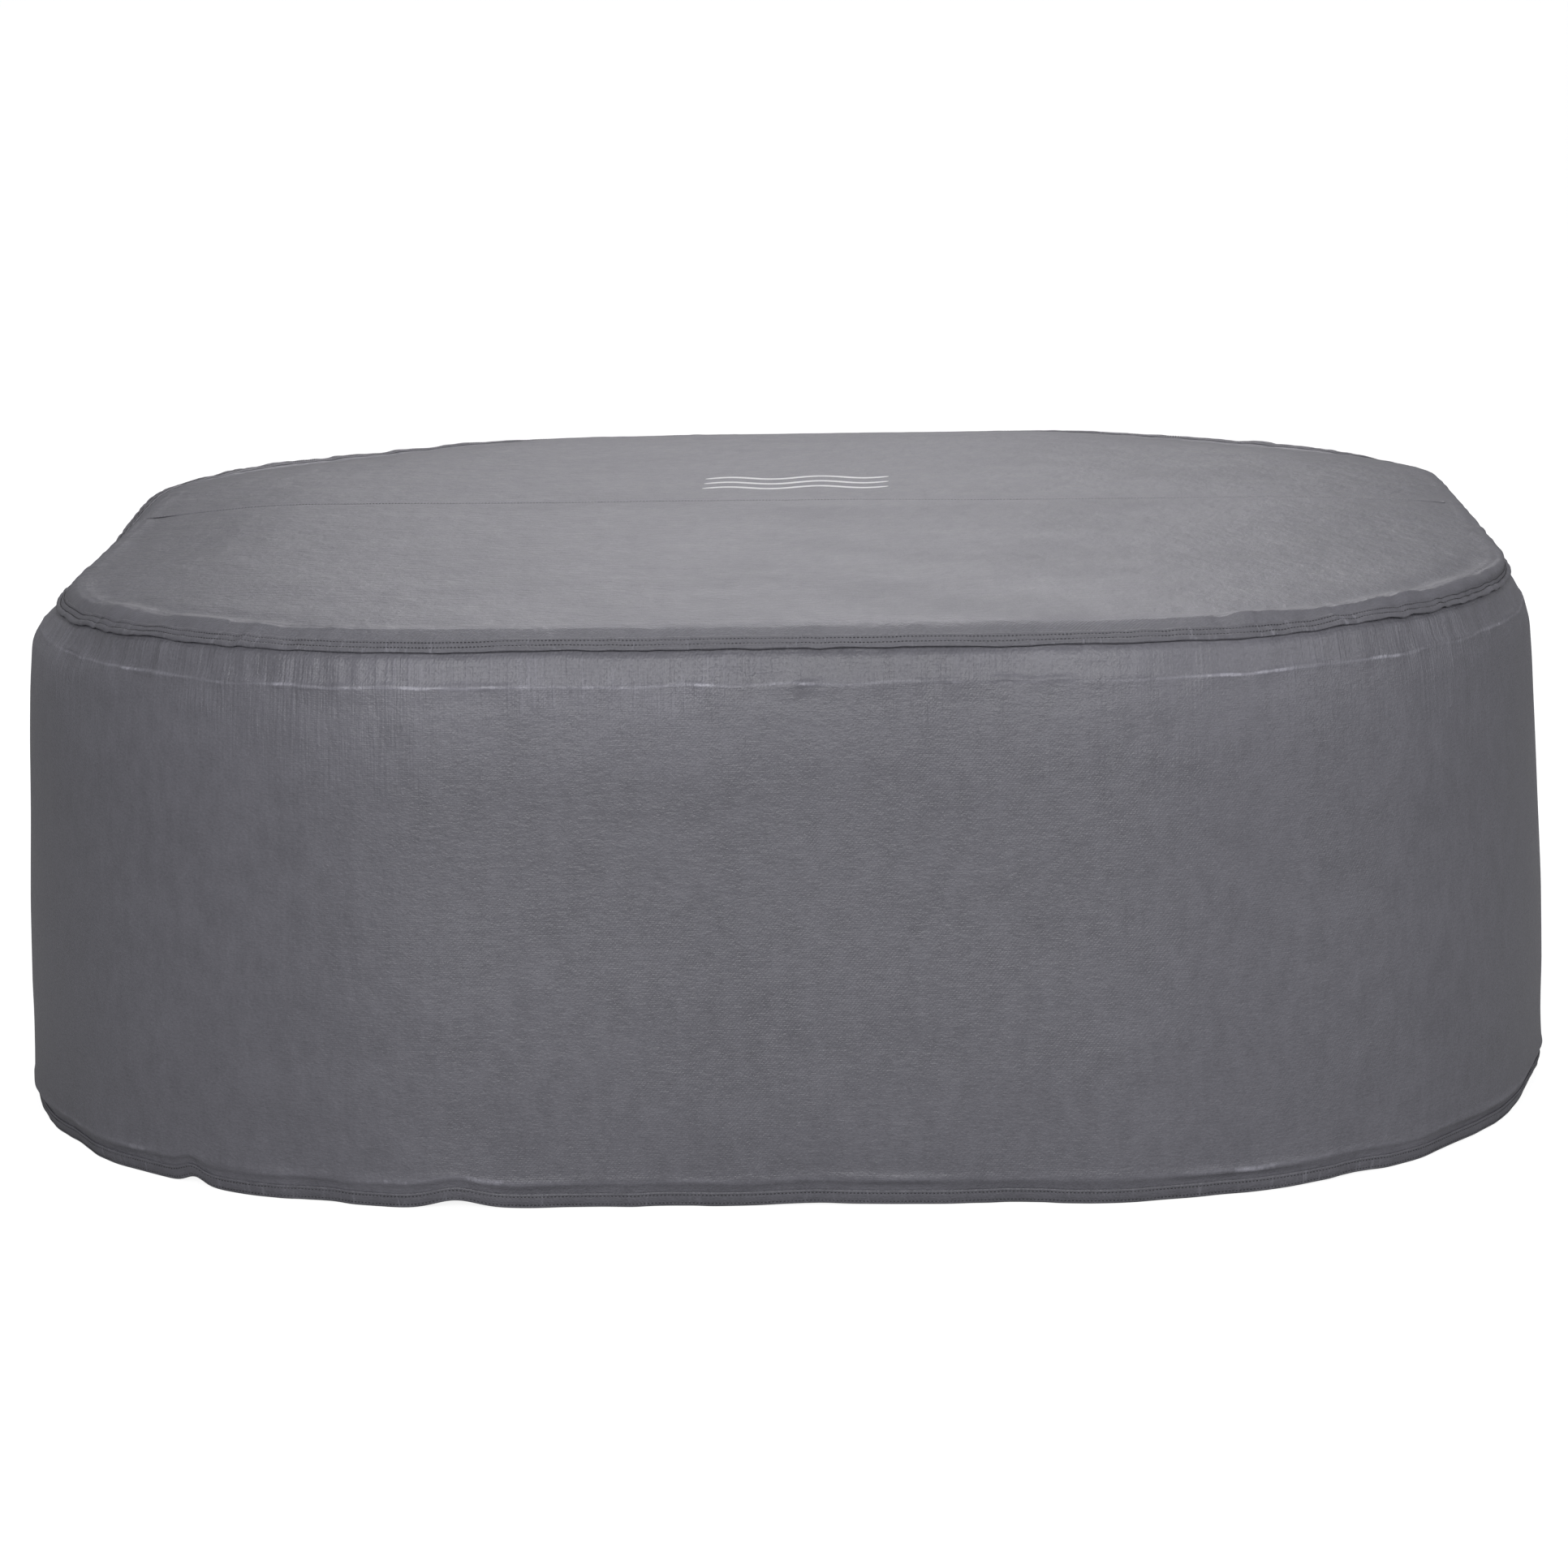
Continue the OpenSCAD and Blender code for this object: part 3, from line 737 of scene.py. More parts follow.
CLOTH = (0.136, 0.134, 0.154)
cloth_material = coated_cloth("coated_cloth", CLOTH, 0.44, 2.4)
wall_material = coated_cloth("wall_cloth", CLOTH, ribs=True)
tape_material = coated_cloth("binding_cloth", shade(CLOTH, 0.9), 0.5, creased=True)
foil_material = foil_cloth("foil_cloth")
foam_material = foam("foam_sheet")
web_material = webbing("black_webbing", (0.035, 0.035, 0.038))
loop_material = loop_pile("loop_pile")
hook_material = hook_tape("hook_tape")
dark_thread = thread("dark_thread", (0.035, 0.035, 0.04))
grey_thread = thread("grey_thread", (0.12, 0.12, 0.135))
ink_material = printed_ink("white_print")
elastic_material = elastic("braided_elastic")

# ---------------------------------------------------------------- plies of the wall
FLANGE = 12 * MM                                   # width of a binding's flanges
PORT_HALF = port_high.x - FLANGE
PORT_TOP = port_high.z - FLANGE
HEM_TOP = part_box("hem_tape")[1].z
SHELL_T = 0.9 * MM
FOAM_OUT, FOAM_T = -4.4 * MM, 3.2 * MM
LINER_OUT, LINER_T = -7.9 * MM, 0.5 * MM
TOP_GAP = 1.2 * MM                                 # how much further in the top's plies lie
FRONT_S = (SIDE_SEAM_S, PERIMETER - SIDE_SEAM_S)


def wall_ply(name, material, half, step_s, step_z, out, thickness, fine, foot):
    """One ply of half of the wall, as a closed sheet; the back one leaves the port open."""
    if half == "front":
        s = samples((*FRONT_S, step_s))
    else:
        s = samples((-SIDE_SEAM_S, -PORT_HALF, step_s), (-PORT_HALF, PORT_HALF, step_s),
                    (PORT_HALF, SIDE_SEAM_S, step_s))
    near = min(step_z, 3.4 * MM)
    low, below, over = 62 * MM, RIDGE_Z - 8 * MM, RIDGE_Z + 7 * MM      # the ridge has the finest rows
    z = samples((foot, low, near), (low, PORT_TOP, step_z), (PORT_TOP, RIDGE_Z - 34 * MM, step_z),
                (RIDGE_Z - 34 * MM, below, 1.9 * near), (below, over, 0.5 * near),
                (over, SEAM_Z - 1.5 * MM, 0.85 * near))

    def in_port(i, j):
        middle_s, middle_z = (s[i] + s[i + 1]) / 2, (z[j] + z[j + 1]) / 2
        return (np.abs(middle_s) < PORT_HALF) & (middle_z < PORT_TOP)

    points = wall_point(s[:, None], z[None, :], out, fine)
    piece = grid_piece(name, points, s, z, material, skip=in_port if half == "back" else None)
    return thicken(piece, thickness)


for half in ("front", "back"):
    shell = wall_ply(f"wall_shell_{half}_cloth", wall_material, half, 5.2 * MM, 17 * MM, 0, SHELL_T,
                     True, 3 * MM)
    own(shell, "jacket", "shell_fabric", f"wall_shell_{half}")
    pad = wall_ply(f"wall_insulation_{half}_foam", foam_material, half, 16 * MM, 20 * MM, FOAM_OUT, FOAM_T,
                   False, 4 * MM)
    own(pad, "jacket", "insulation_foam", f"wall_insulation_{half}")
    liner = wall_ply(f"wall_liner_{half}_foil", foil_material, half, 11 * MM, 14 * MM, LINER_OUT, LINER_T,
                     False, 3 * MM)
    own(liner, "jacket", "foil_liner", f"wall_liner_{half}")


# ---------------------------------------------------------------- plies of the top
LAP_SLANT = 0.04                                   # slope in plan of the lapped seam


def lap_y(x):
    """Where the lapped seam crosses the top."""
    return SPLIT_Y - LAP_SLANT * x


def top_sheet(columns, out, fine, start):
    """Points and faces of one ply of the whole top: rings of cells round a grid of cells."""
    if fine:
        near = samples((start, 60 * MM, 2.9 * MM), (60 * MM, 86 * MM, 2 * MM), (86 * MM, 130 * MM, 5.5 * MM))
    else:
        near = samples((start, 130 * MM, 12 * MM))
    far = samples((142 * MM, 290 * MM, 13 * MM))
    half_count = columns // 2
    first = STRAIGHT / 2 + ARC / 2
    s_near = first + np.arange(columns) / columns * PERIMETER
    s_far = s_near[::2]
    rings = [top_point(s_near, inset, out, fine) for inset in near]
    rings += [top_point(s_far, inset, out, fine) for inset in far]
    starts = np.cumsum([0] + [len(r) for r in rings])
    faces = []
    for k in range(len(rings) - 1):
        a, b = starts[k], starts[k + 1]
        count, after = len(rings[k]), len(rings[k + 1])
        i = np.arange(after)
        if count == after:
            j = (i + 1) % count
            faces += np.stack([a + i, a + j, b + j, b + i], -1).tolist()
        else:
            left, middle, right = a + 2 * i, a + 2 * i + 1, a + (2 * i + 2) % count
            inner, following = b + i, b + (i + 1) % after
            faces += np.stack([left, middle, inner], -1).tolist()
            faces += np.stack([middle, following, inner], -1).tolist()
            faces += np.stack([middle, right, following], -1).tolist()
    # the grid: its edge is the last ring, with its corners in the middle of the rounded corners
    side = half_count // 4
    edge = rings[-1][:, :2]
    u = np.linspace(0, 1, side + 1)[:, None, None]
    v = np.linspace(0, 1, side + 1)[None, :, None]
    k = np.arange(side + 1)
    low, high = edge[side + k][:, None], edge[(half_count - k) % half_count][:, None]
    left, right = edge[side - k][None, :], edge[2 * side + k][None, :]
    grid = (1 - v) * low + v * high + (1 - u) * left + u * right
    grid = grid - ((1 - u) * (1 - v) * edge[side] + u * (1 - v) * edge[2 * side]
                   + (1 - u) * v * edge[0] + u * v * edge[3 * side])
    base = starts[-2]
    number = np.full((side + 1, side + 1), -1)
    number[:, 0], number[:, side] = base + side + k, base + (half_count - k) % half_count
    number[0, :], number[side, :] = base + side - k, base + 2 * side + k
    inside = grid[1:-1, 1:-1].reshape(-1, 2)
    number[1:-1, 1:-1] = starts[-1] + np.arange(len(inside)).reshape(side - 1, side - 1)
    heights = top_height(inside[:, 0], inside[:, 1]) + out
    faces += np.stack([number[:-1, :-1], number[1:, :-1], number[1:, 1:], number[:-1, 1:]], -1).reshape(
        -1, 4).tolist()
    return np.concatenate(rings + [np.column_stack([inside, heights])]), faces


def top_piece(name, material, columns, out, fine, start):
    points, faces = top_sheet(columns, out, fine, start)
    uv = np.concatenate([points[f, :2] for f in faces])
    return add_piece(name, points, faces, material, uv)


def cut_at_lap(piece, keep_front):
    """Leaves the part of the piece in front of the lapped seam, or the part behind it."""
    work = bmesh.new()
    work.from_mesh(piece.data)
    normal = Vector((LAP_SLANT, 1, 0)).normalized()
    bmesh.ops.bisect_plane(work, geom=work.verts[:] + work.edges[:] + work.faces[:], dist=1e-6,
                           plane_co=(0, SPLIT_Y, 0), plane_no=normal,
                           clear_outer=keep_front, clear_inner=not keep_front)
    work.to_mesh(piece.data)
    work.free()
    return piece


for half in ("front", "back"):
    shell = top_piece(f"top_shell_{half}_cloth", cloth_material, 1120, 0, True, SEW_INSET)
    thicken(cut_at_lap(shell, half == "front"), SHELL_T)
    own(shell, "jacket", "shell_fabric", f"top_shell_{half}")

foam_top = top_piece("top_insulation_foam", foam_material, 400, FOAM_OUT - TOP_GAP, False, SEW_INSET + 5 * MM)
thicken(foam_top, FOAM_T)
own(foam_top, "jacket", "insulation_foam", "top_insulation_panel", "top_insulation_border")
liner_top = top_piece("top_liner_foil", foil_material, 560, LINER_OUT - TOP_GAP, False, SEW_INSET + 6 * MM)
thicken(liner_top, LINER_T)
own(liner_top, "jacket", "foil_liner", "top_liner")


# ---------------------------------------------------------------- stitches
def skin(point, s, v):
    """A surface's points and unit normals; point(s, v) is the surface."""
    step = 0.3 * MM
    along = point(s + step, v) - point(s - step, v)
    across = point(s, v + step) - point(s, v - step)
    normals = np.cross(along, across)
    return point(s, v), normals / np.linalg.norm(normals, axis=-1, keepdims=True)


def stitch_row(name, places, normals, body, slot="shell_fabric", closed=False, long=2.7 * MM, thick=0.6 * MM,
               yarn=None):
    """One bowed capsule of thread at each place of a row, its ends sunk into the cloth."""
    following = np.roll(places, -1, 0) - np.roll(places, 1, 0)
    if not closed:
        following[0], following[-1] = places[1] - places[0], places[-1] - places[-2]
    along = following / np.linalg.norm(following, axis=-1, keepdims=True)
    side = np.cross(normals, along)
    side /= np.linalg.norm(side, axis=-1, keepdims=True)
    normals = np.cross(along, side)
    rings, sides = (-0.62, 0.0, 0.62), 5
    template = [(-long / 2, 0, -0.5 * thick)]
    for t in rings:
        size = thick * (1 - 0.25 * abs(t))
        for k in range(sides):
            angle = 2 * math.pi * k / sides
            template.append((t * long / 2, size * math.cos(angle), size * math.sin(angle)
                             + thick * (0.35 - 0.8 * t * t)))
    template.append((long / 2, 0, -0.5 * thick))
    template = np.array(template)
    faces = [(0, 1 + (k + 1) % sides, 1 + k) for k in range(sides)]
    for r in range(len(rings) - 1):
        a, b = 1 + r * sides, 1 + (r + 1) * sides
        faces += [(a + k, a + (k + 1) % sides, b + (k + 1) % sides) for k in range(sides)]
        faces += [(a + k, b + (k + 1) % sides, b + k) for k in range(sides)]
    last = len(template) - 1
    a = last - sides
    faces += [(a + k, a + (k + 1) % sides, last) for k in range(sides)]
    points = places[:, None] + sum(template[None, :, k:k + 1] * axis[:, None]
                                   for k, axis in enumerate((along, side, normals)))
    faces = np.array(faces)[None] + len(template) * np.arange(len(places))[:, None, None]
    return own(add_piece(name, points, faces.reshape(-1, 3).tolist(), yarn or dark_thread), body, slot)


def around(pitch):
    """Arc lengths once round the cover, a pitch apart."""
    count = round(PERIMETER / pitch)
    return np.arange(count) / count * PERIMETER


def rows_around(name, surface, rows):
    """Rows of stitches round the cover; each row is its place across the surface and its height over it."""
    for number, (at, height) in enumerate(rows):
        row_s = around(STITCH) + number * STITCH / 2
        places, normals = skin(lambda s, v: surface(s, v, height), row_s, np.full(len(row_s), at))
        stitch_row(f"{name}_stitches_{number + 1}", places, normals, "jacket", "seam_tape", closed=True)


STITCH = 4.1 * MM                                  # pitch of the stitches

# ---------------------------------------------------------------- binding of the top seam
BIND_TILT = math.radians(27.8)                     # slope of the cloth under the binding
BIND_COS, BIND_SIN = math.cos(BIND_TILT), math.sin(BIND_TILT)


def bound_point(s, q, h=0.0):
    """Points by arc length, distance q up the slope from the seam, and height h over the cloth."""
    s, q, h = np.broadcast_arrays(np.asarray(s, float), np.asarray(q, float), np.asarray(h, float))
    base = top_point(s, SEW_INSET + np.maximum(q, 0) * BIND_COS, h)
    normals = outline(s)[1]
    over = np.minimum(q, 0)
    slope = np.concatenate([-normals * BIND_COS, np.full(s.shape + (1,), BIND_SIN)], -1)
    return base + over[..., None] * slope


# Section of the folded tape: distance up the slope from the seam, and height over the cloth, in mm.
binding_line = np.array([
    (18.6, 0.12), (18.2, 0.7), (16.8, 1.15), (14.8, 1.3), (13.4, 0.8), (12.3, 0.75), (11.0, 1.3),
    (8.4, 1.55), (6.3, 1.35), (5.1, 0.75), (4.2, 0.75), (3.0, 1.5), (1.2, 1.9), (-0.8, 1.9),
    (-2.4, 1.3), (-3.1, 0.2), (-2.8, -0.9), (-1.6, -1.4), (-0.4, -1.0), (0.4, -0.1), (5, 0.05),
    (12, 0.05)
]) * MM
ring_s = around(STITCH)
bumps = 1 + 0.35 * drift(71, ring_s, 14 * MM) + 0.25 * drift(72, ring_s, 40 * MM)
edge_run = 0.8 * MM * drift(73, ring_s, 24 * MM)
q = binding_line[None, :, 0] + edge_run[:, None] * (binding_line[None, :, 0] < 2 * MM)
loops = bound_point(ring_s[:, None], q, binding_line[None, :, 1] * bumps[:, None])
binding = section_piece("top_binding_tape", loops, ring_s, lengths_along(binding_line), tape_material, True)
own(binding, "jacket", "seam_tape", "top_binding")
rows_around("top_binding", bound_point, ((12.9 * MM, 0.75 * MM), (4.6 * MM, 0.78 * MM)))

# ---------------------------------------------------------------- hem
# Section of the folded hem tape: distance out of the wall's face, and height, in mm.
hem_line = np.array([
    (1.3, 18), (1.35, 16), (1.0, 14.5), (1.35, 13), (1.45, 9), (1.35, 6.2), (1.0, 4.8), (1.2, 3.4),
    (0.9, 1.7), (-0.3, 0.6), (-2.5, 0.2), (-8, 0.2), (-12.5, 0.9), (-15, 3.5), (-15.8, 8), (-15.4, 12),
    (-13, 15.4), (-9.9, 17.2), (-8.7, 18.4), (-7.7, 18.2), (-9.3, 15.9), (-12.3, 14.2), (-14.3, 11.6),
    (-14.6, 8), (-13.9, 4.3), (-12, 2.1), (-8, 1.5), (-2, 1.5), (-0.2, 2.2), (0.15, 4), (0.15, 10),
    (0.15, 17.6)
]) * MM
hem_s = around(4.2 * MM)
crumple = 0.35 * MM * cloud(81, hem_s[:, None], hem_line[None, :, 1], 16 * MM, 22 * MM)
outer_face = hem_line[None, :, 0] > 0.5 * MM
loops = wall_point(hem_s[:, None], hem_line[None, :, 1], hem_line[None, :, 0] + crumple * outer_face)
hem = section_piece("hem_tape_band", loops, hem_s, lengths_along(hem_line), tape_material, True)
own(hem, "jacket", "seam_tape", "hem_tape")
rows_around("hem", wall_point, ((14.5 * MM, 1.0 * MM), (4.8 * MM, 1.0 * MM)))

elastic_low, elastic_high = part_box("hem_elastic")
ELASTIC_R = (elastic_high.z - elastic_low.z) / 2
cord_s = samples((PORT_HALF + 2 * MM, PERIMETER - PORT_HALF - 2 * MM, 6 * MM))
angles = np.arange(10) / 10 * 2 * math.pi
loops = wall_point(cord_s[:, None], elastic_low.z + ELASTIC_R + ELASTIC_R * np.sin(angles)[None],
                   -11.6 * MM + ELASTIC_R * np.cos(angles)[None])
cord = section_piece("hem_elastic_cord", loops, cord_s, angles * ELASTIC_R, elastic_material, False)
own(cord, "jacket", "elastic_cord", "hem_elastic")

# ---------------------------------------------------------------- side seams and lapped seam
for side, seam_s in (("left", SIDE_SEAM_S), ("right", PERIMETER - SIDE_SEAM_S)):
    across = np.array([-8, -7.6, -6.2, -5.2, -3, 0, 3, 5.2, 6.2, 7.6, 8]) * MM
    out = np.array([0.1, 0.7, 0.85, 0.6, 0.95, 1.05, 0.95, 0.6, 0.85, 0.7, 0.1]) * MM
    heights = samples((18.4 * MM, SEAM_Z - 8 * MM, 4 * MM))
    wobble = 0.6 * MM * cloud(91, seam_s, heights, 60 * MM, 55 * MM)
    under = np.full(len(across), -0.05 * MM)
    line_s = seam_s + np.concatenate([across, across[::-1]])[None] + wobble[:, None]
    pucker = 1 + 0.2 * cloud(92, seam_s, heights, 60 * MM, 9 * MM)
    line_out = np.concatenate([out, under])[None] * pucker[:, None]
    loops = wall_point(line_s, heights[:, None], line_out)
    length = np.concatenate([across, 2 * across[-1] - across[::-1] + 0.2 * MM])
    tape = section_piece(f"side_seam_{side}_tape", loops[:, ::-1], heights, length, tape_material, False)
    own(tape, "jacket", "seam_tape", f"side_seam_{side}")
    for number, offset in enumerate((-5.2 * MM, 5.2 * MM)):
        z = np.arange(22 * MM, SEAM_Z - 12 * MM, STITCH)
        wobble = 0.6 * MM * cloud(91, seam_s, z, 60 * MM, 55 * MM)
        places, normals = skin(lambda s, v: wall_point(s, v, 0.62 * MM), seam_s + offset + wobble, z)
        stitch_row(f"side_seam_{side}_stitches_{number + 1}", places, normals, "jacket", "seam_tape")


def top_skin(x, y, out=0.0):
    """Points of the top's face, away from its rounded corners, at plan places."""
    inset = inset_at(x, y)
    s = np.where(x < 0, STRAIGHT + ARC - y, PERIMETER - STRAIGHT - ARC + y)
    full = inset
    for _ in range(12):                 # the inset before the slip, found by repeated halving of the error
        pulled, dropped = slipped(s, inset)
        inset = (inset + full - pulled) / 2
    z = top_line(inset) + top_sag(x, y, inset) - dropped + shoulder_push(s, inset) + out
    return np.stack(np.broadcast_arrays(x, y, z), -1)


lap_end = HALF - CREST_INSET - 6 * MM
lap_x = samples((-lap_end, lap_end, 4 * MM))
across = np.array([-8, -7.7, -6.4, -5.0, -3.6, 0, 4, 7, 7.8, 8]) * MM
out = np.array([0.01, 0.14, 0.26, 0.2, 0.28, 0.28, 0.22, 0.12, 0.05, 0.01]) * MM
pucker = 1 + 0.5 * drift(95, lap_x, 21 * MM, OPEN) + 0.3 * drift(96, lap_x, 9 * MM, OPEN)
wander = 0.7 * MM * drift(97, lap_x, 90 * MM, OPEN)
line_y = (lap_y(lap_x) + wander)[:, None] + np.concatenate([across, across[::-1]])[None]
line_out = np.concatenate([out, np.full(len(across), -0.3 * MM)])[None] * np.clip(pucker, 0.4, 2)[:, None]
loops = top_skin(np.broadcast_to(lap_x[:, None], line_y.shape), line_y, line_out)
length = np.concatenate([across, 2 * across[-1] - across[::-1] + 0.2 * MM])
lap = section_piece("top_lap_seam_strip", loops[:, ::-1], lap_x, length, cloth_material, False)
own(lap, "jacket", "seam_tape", "top_lap_seam")
row_x = np.arange(-lap_end + 6 * MM, lap_end - 6 * MM, STITCH)
row_y = lap_y(row_x) + 0.7 * MM * drift(97, row_x, 90 * MM, OPEN) - 5.0 * MM
places, normals = skin(lambda x, y: top_skin(x, y, 0.16 * MM), row_x, row_y)
stitch_row("top_lap_seam_stitches", places, normals, "jacket", "seam_tape", thick=0.4 * MM, yarn=grey_thread)

# ---------------------------------------------------------------- printed waves
print_low, print_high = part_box("wave_print")
WAVES, WAVE_PITCH, WAVE_LINE, WAVE_SWING = 3, 48 * MM, 12 * MM, 12 * MM
WAVE_SHIFT = 7 * MM                                # how far right the print sits on the sewn cloth
WAVE_TURN = 4 * math.pi / (print_high.x - print_low.x)      # two full waves
for wave in range(WAVES):
    middle = (print_low.y + print_high.y) / 2 + (wave - (WAVES - 1) / 2) * WAVE_PITCH
    x = samples((print_low.x, print_high.x, 2.5 * MM))
    slope = WAVE_SWING * WAVE_TURN * np.cos(x * WAVE_TURN)
    y = middle + WAVE_SWING * np.sin(x * WAVE_TURN)
    taper = np.sqrt(np.clip(1 - (np.abs(x) / print_high.x) ** 12, 0.02, 1))
    cut = np.array([-1, -0.96, -0.5, 0, 0.5, 0.96, 1])
    rise = np.array([0.02, 0.16, 0.2, 0.2, 0.2, 0.16, 0.02]) * MM
    fall = np.full(len(cut), -0.1 * MM)
    place = np.concatenate([cut, cut[::-1]])[None] * (WAVE_LINE / 2 * taper)[:, None]
    turn = 1 / np.sqrt(1 + slope ** 2)
    px = x[:, None] - place * (slope * turn)[:, None] + WAVE_SHIFT
    py = y[:, None] + place * turn[:, None]
    loops = top_skin(px, py, np.concatenate([rise, fall])[None])
    line = section_piece(f"wave_print_{wave + 1}", loops[:, ::-1], x, np.arange(14) * MM, ink_material, False)
    own(line, "jacket", "white_print", *(["wave_print"] if wave == 0 else []))

# ---------------------------------------------------------------- tapes, strips and straps on the back

def band(node, ending, along, material, body, slot, seed, rows=(), lap=0.0):
    """A flat band that fills the box of its node, its long side along X (0) or Z (2), with soft edges.

    rows are distances of stitch rows from its middle line, joined by a row at each end; lap is how much
    further it starts, over the piece that it is sewn to."""
    name = f"{node}_{ending}"
    low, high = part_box(node)
    low = Vector((low.x - lap, low.y, low.z))
    across = 2 - along
    half_w = (high[across] - low[across]) / 2
    thick = high[1] - low[1]
    middle = (high[across] + low[across]) / 2
    end = 2 * MM
    t = samples((low[along], low[along] + end, 0.7 * MM), (low[along] + end, high[along] - end, 3 * MM),
                (high[along] - end, high[along], 0.7 * MM))
    steps = np.linspace(-1, 1, 13)
    top_side = 1 - 0.45 * np.abs(steps) ** 10
    for row in rows:
        top_side = top_side - 0.16 * bell(steps * half_w - row, 1.1 * MM)
    soft = 0.62 + 0.38 * ramp(np.minimum(t - low[along], high[along] - t), 0, 1.2 * MM)
    edge = half_w + 0.25 * MM * drift(200 + seed, t, 24 * MM, OPEN) - 0.3 * MM
    lie = 0.12 * MM * drift(230 + seed, t, 40 * MM, OPEN)
    section_w = np.concatenate([steps, steps[::-1]])
    section_t = np.concatenate([top_side, np.full(len(steps), 0.04)])
    wide = middle + section_w[None] * edge[:, None]
    out = low[1] + (section_t[None] * soft[:, None]) * thick + lie[:, None]
    loops = np.empty(wide.shape + (3,))
    loops[..., along], loops[..., across], loops[..., 1] = t[:, None], wide, out
    length = np.concatenate([steps + 1, 3.1 + (steps + 1)]) * half_w
    flip = slice(None) if along == 0 else slice(None, None, -1)
    piece = section_piece(name, loops[:, flip], t, length, material, False)
    own(piece, body, slot, node)

    def line(name, start, stop, fixed, axis):
        """A row of stitches along one axis."""
        run = np.arange(start + 3 * MM, stop - 3 * MM, 3.4 * MM)
        places = np.empty((len(run), 3))
        places[:, axis], places[:, 2 - axis], places[:, 1] = run, fixed, high[1] - 0.12 * thick
        stitch_row(name, places, np.tile([0.0, 1.0, 0.0], (len(run), 1)), body, slot, long=2.5 * MM,
                   thick=0.36 * MM)

    for number, row in enumerate(rows):
        line(f"{name}_stitches_{number + 1}", low[along], high[along], middle + row, along)
    if rows:
        for number, place in enumerate((low[along] + 2.6 * MM, high[along] - 2.6 * MM)):
            line(f"{name}_end_stitches_{number + 1}", low[across], high[across], place, across)
    return piece


def bent_path(corners, radius, step):
    """Points and left-hand normals along a line with rounded corners."""
    points, normals = [], []
    corners = np.array(corners, float)
    at = corners[0]
    for k in range(1, len(corners)):
        direction = (corners[k] - corners[k - 1]) / np.linalg.norm(corners[k] - corners[k - 1])
        last = k == len(corners) - 1
        stop = corners[k] - direction * (0 if last else radius)
        count = max(2, round(np.linalg.norm(stop - at) / step))
        left = np.array([-direction[1], direction[0]])
        for t in np.linspace(0, 1, count, endpoint=last):
            points.append(at + (stop - at) * t)
            normals.append(left)
        if last:
            break
        following = (corners[k + 1] - corners[k]) / np.linalg.norm(corners[k + 1] - corners[k])
        turn = np.sign(direction[0] * following[1] - direction[1] * following[0])
        center = stop + left * turn * radius
        for angle in np.linspace(0, math.pi / 2, 9)[:-1]:
            spin = turn * angle
            rot = np.array([[math.cos(spin), -math.sin(spin)], [math.sin(spin), math.cos(spin)]])
            points.append(center + rot @ (stop - center))
            normals.append(rot @ left)
        at = corners[k] + following * radius
    return np.array(points), np.array(normals)


# Section of a tape folded over an edge: distance in over the cloth, and height over its face, in mm.
U_SECTION = np.array([
    (12, 0.1), (12, 0.8), (11.4, 1.2), (9.8, 1.3), (8.8, 0.95), (7.8, 1.3), (3, 1.45), (0.4, 1.2),
    (-1.1, 0.1), (-1.6, -2), (-1.6, -5.6), (-1.1, -7.8), (0.4, -8.9), (4, -9.1), (11.4, -8.9),
    (12, -8.4), (11.8, -7.8), (1, -7.8), (-0.2, -7.2), (-0.4, -1), (0.4, 0.05)
]) * MM
EDGE_ROW = 8.8 * MM                                # the stitches' distance in from a bound edge


def bound_edge(node, path, normals, face_y, body):
    """A folded tape round an edge, with its stitches: path and normals lie in the X Z plane, and the
    normals point over the cloth."""
    a, y = U_SECTION.T
    length = lengths_along(path)
    wave = 1 + 0.06 * drift(260, length, 30 * MM, OPEN)
    spot = path[:, None] + normals[:, None] * (a[None] * wave[:, None])[..., None]
    loops = np.stack([spot[..., 0], np.broadcast_to(face_y + y[None], spot.shape[:2]), spot[..., 1]], -1)
    piece = section_piece(f"{node}_tape", loops, length, lengths_along(U_SECTION), tape_material, False)
    own(piece, body, "seam_tape", node)
    run = np.arange(3 * MM, length[-1] - 2 * MM, 3.6 * MM)
    spot = np.stack([np.interp(run, length, (path + normals * EDGE_ROW)[:, k]) for k in (0, 1)], -1)
    places = np.stack([spot[:, 0], np.full(len(run), face_y + 1 * MM), spot[:, 1]], -1)
    stitch_row(f"{node}_stitches", places, np.tile([0.0, 1.0, 0.0], (len(run), 1)), body, "seam_tape",
               long=2.6 * MM, thick=0.38 * MM)


PORT_FOOT = HEM_TOP + 0.4 * MM
bound_edge("port_binding", *bent_path([
    (-PORT_HALF, PORT_FOOT), (-PORT_HALF, PORT_TOP), (PORT_HALF, PORT_TOP), (PORT_HALF, PORT_FOOT)
], 1.5 * MM, 5 * MM), BACK, "jacket")

for side in ("left", "right"):
    band(f"loop_strip_{side}", "pile", 2, loop_material, "jacket", "loop_pile", 1, (-10.4 * MM, 10.4 * MM))
    band(f"hook_strip_{side}", "tape", 2, hook_material, "port_flap", "hook_tape", 2)
band("flap_head_tape", "band", 0, tape_material, "jacket", "seam_tape", 3, (-2 * MM, 9.6 * MM))
band("strap_anchor", "webbing", 0, web_material, "jacket", "webbing", 4, (-15 * MM, 15 * MM))
band("strap_landing_loop", "pile", 0, loop_material, "jacket", "loop_pile", 5, (-8.6 * MM, 8.6 * MM))
band("strap_hook_patch", "tape", 0, hook_material, "hem_strap", "hook_tape", 6)
strap = band("hem_strap", "webbing", 0, web_material, None, "webbing", 7, lap=13 * MM)
x, y, z = next(j for j in frame["record"]["behaviour"]["joints"] if j["name"] == "strap_hinge")["pos_m"]
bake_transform(strap)
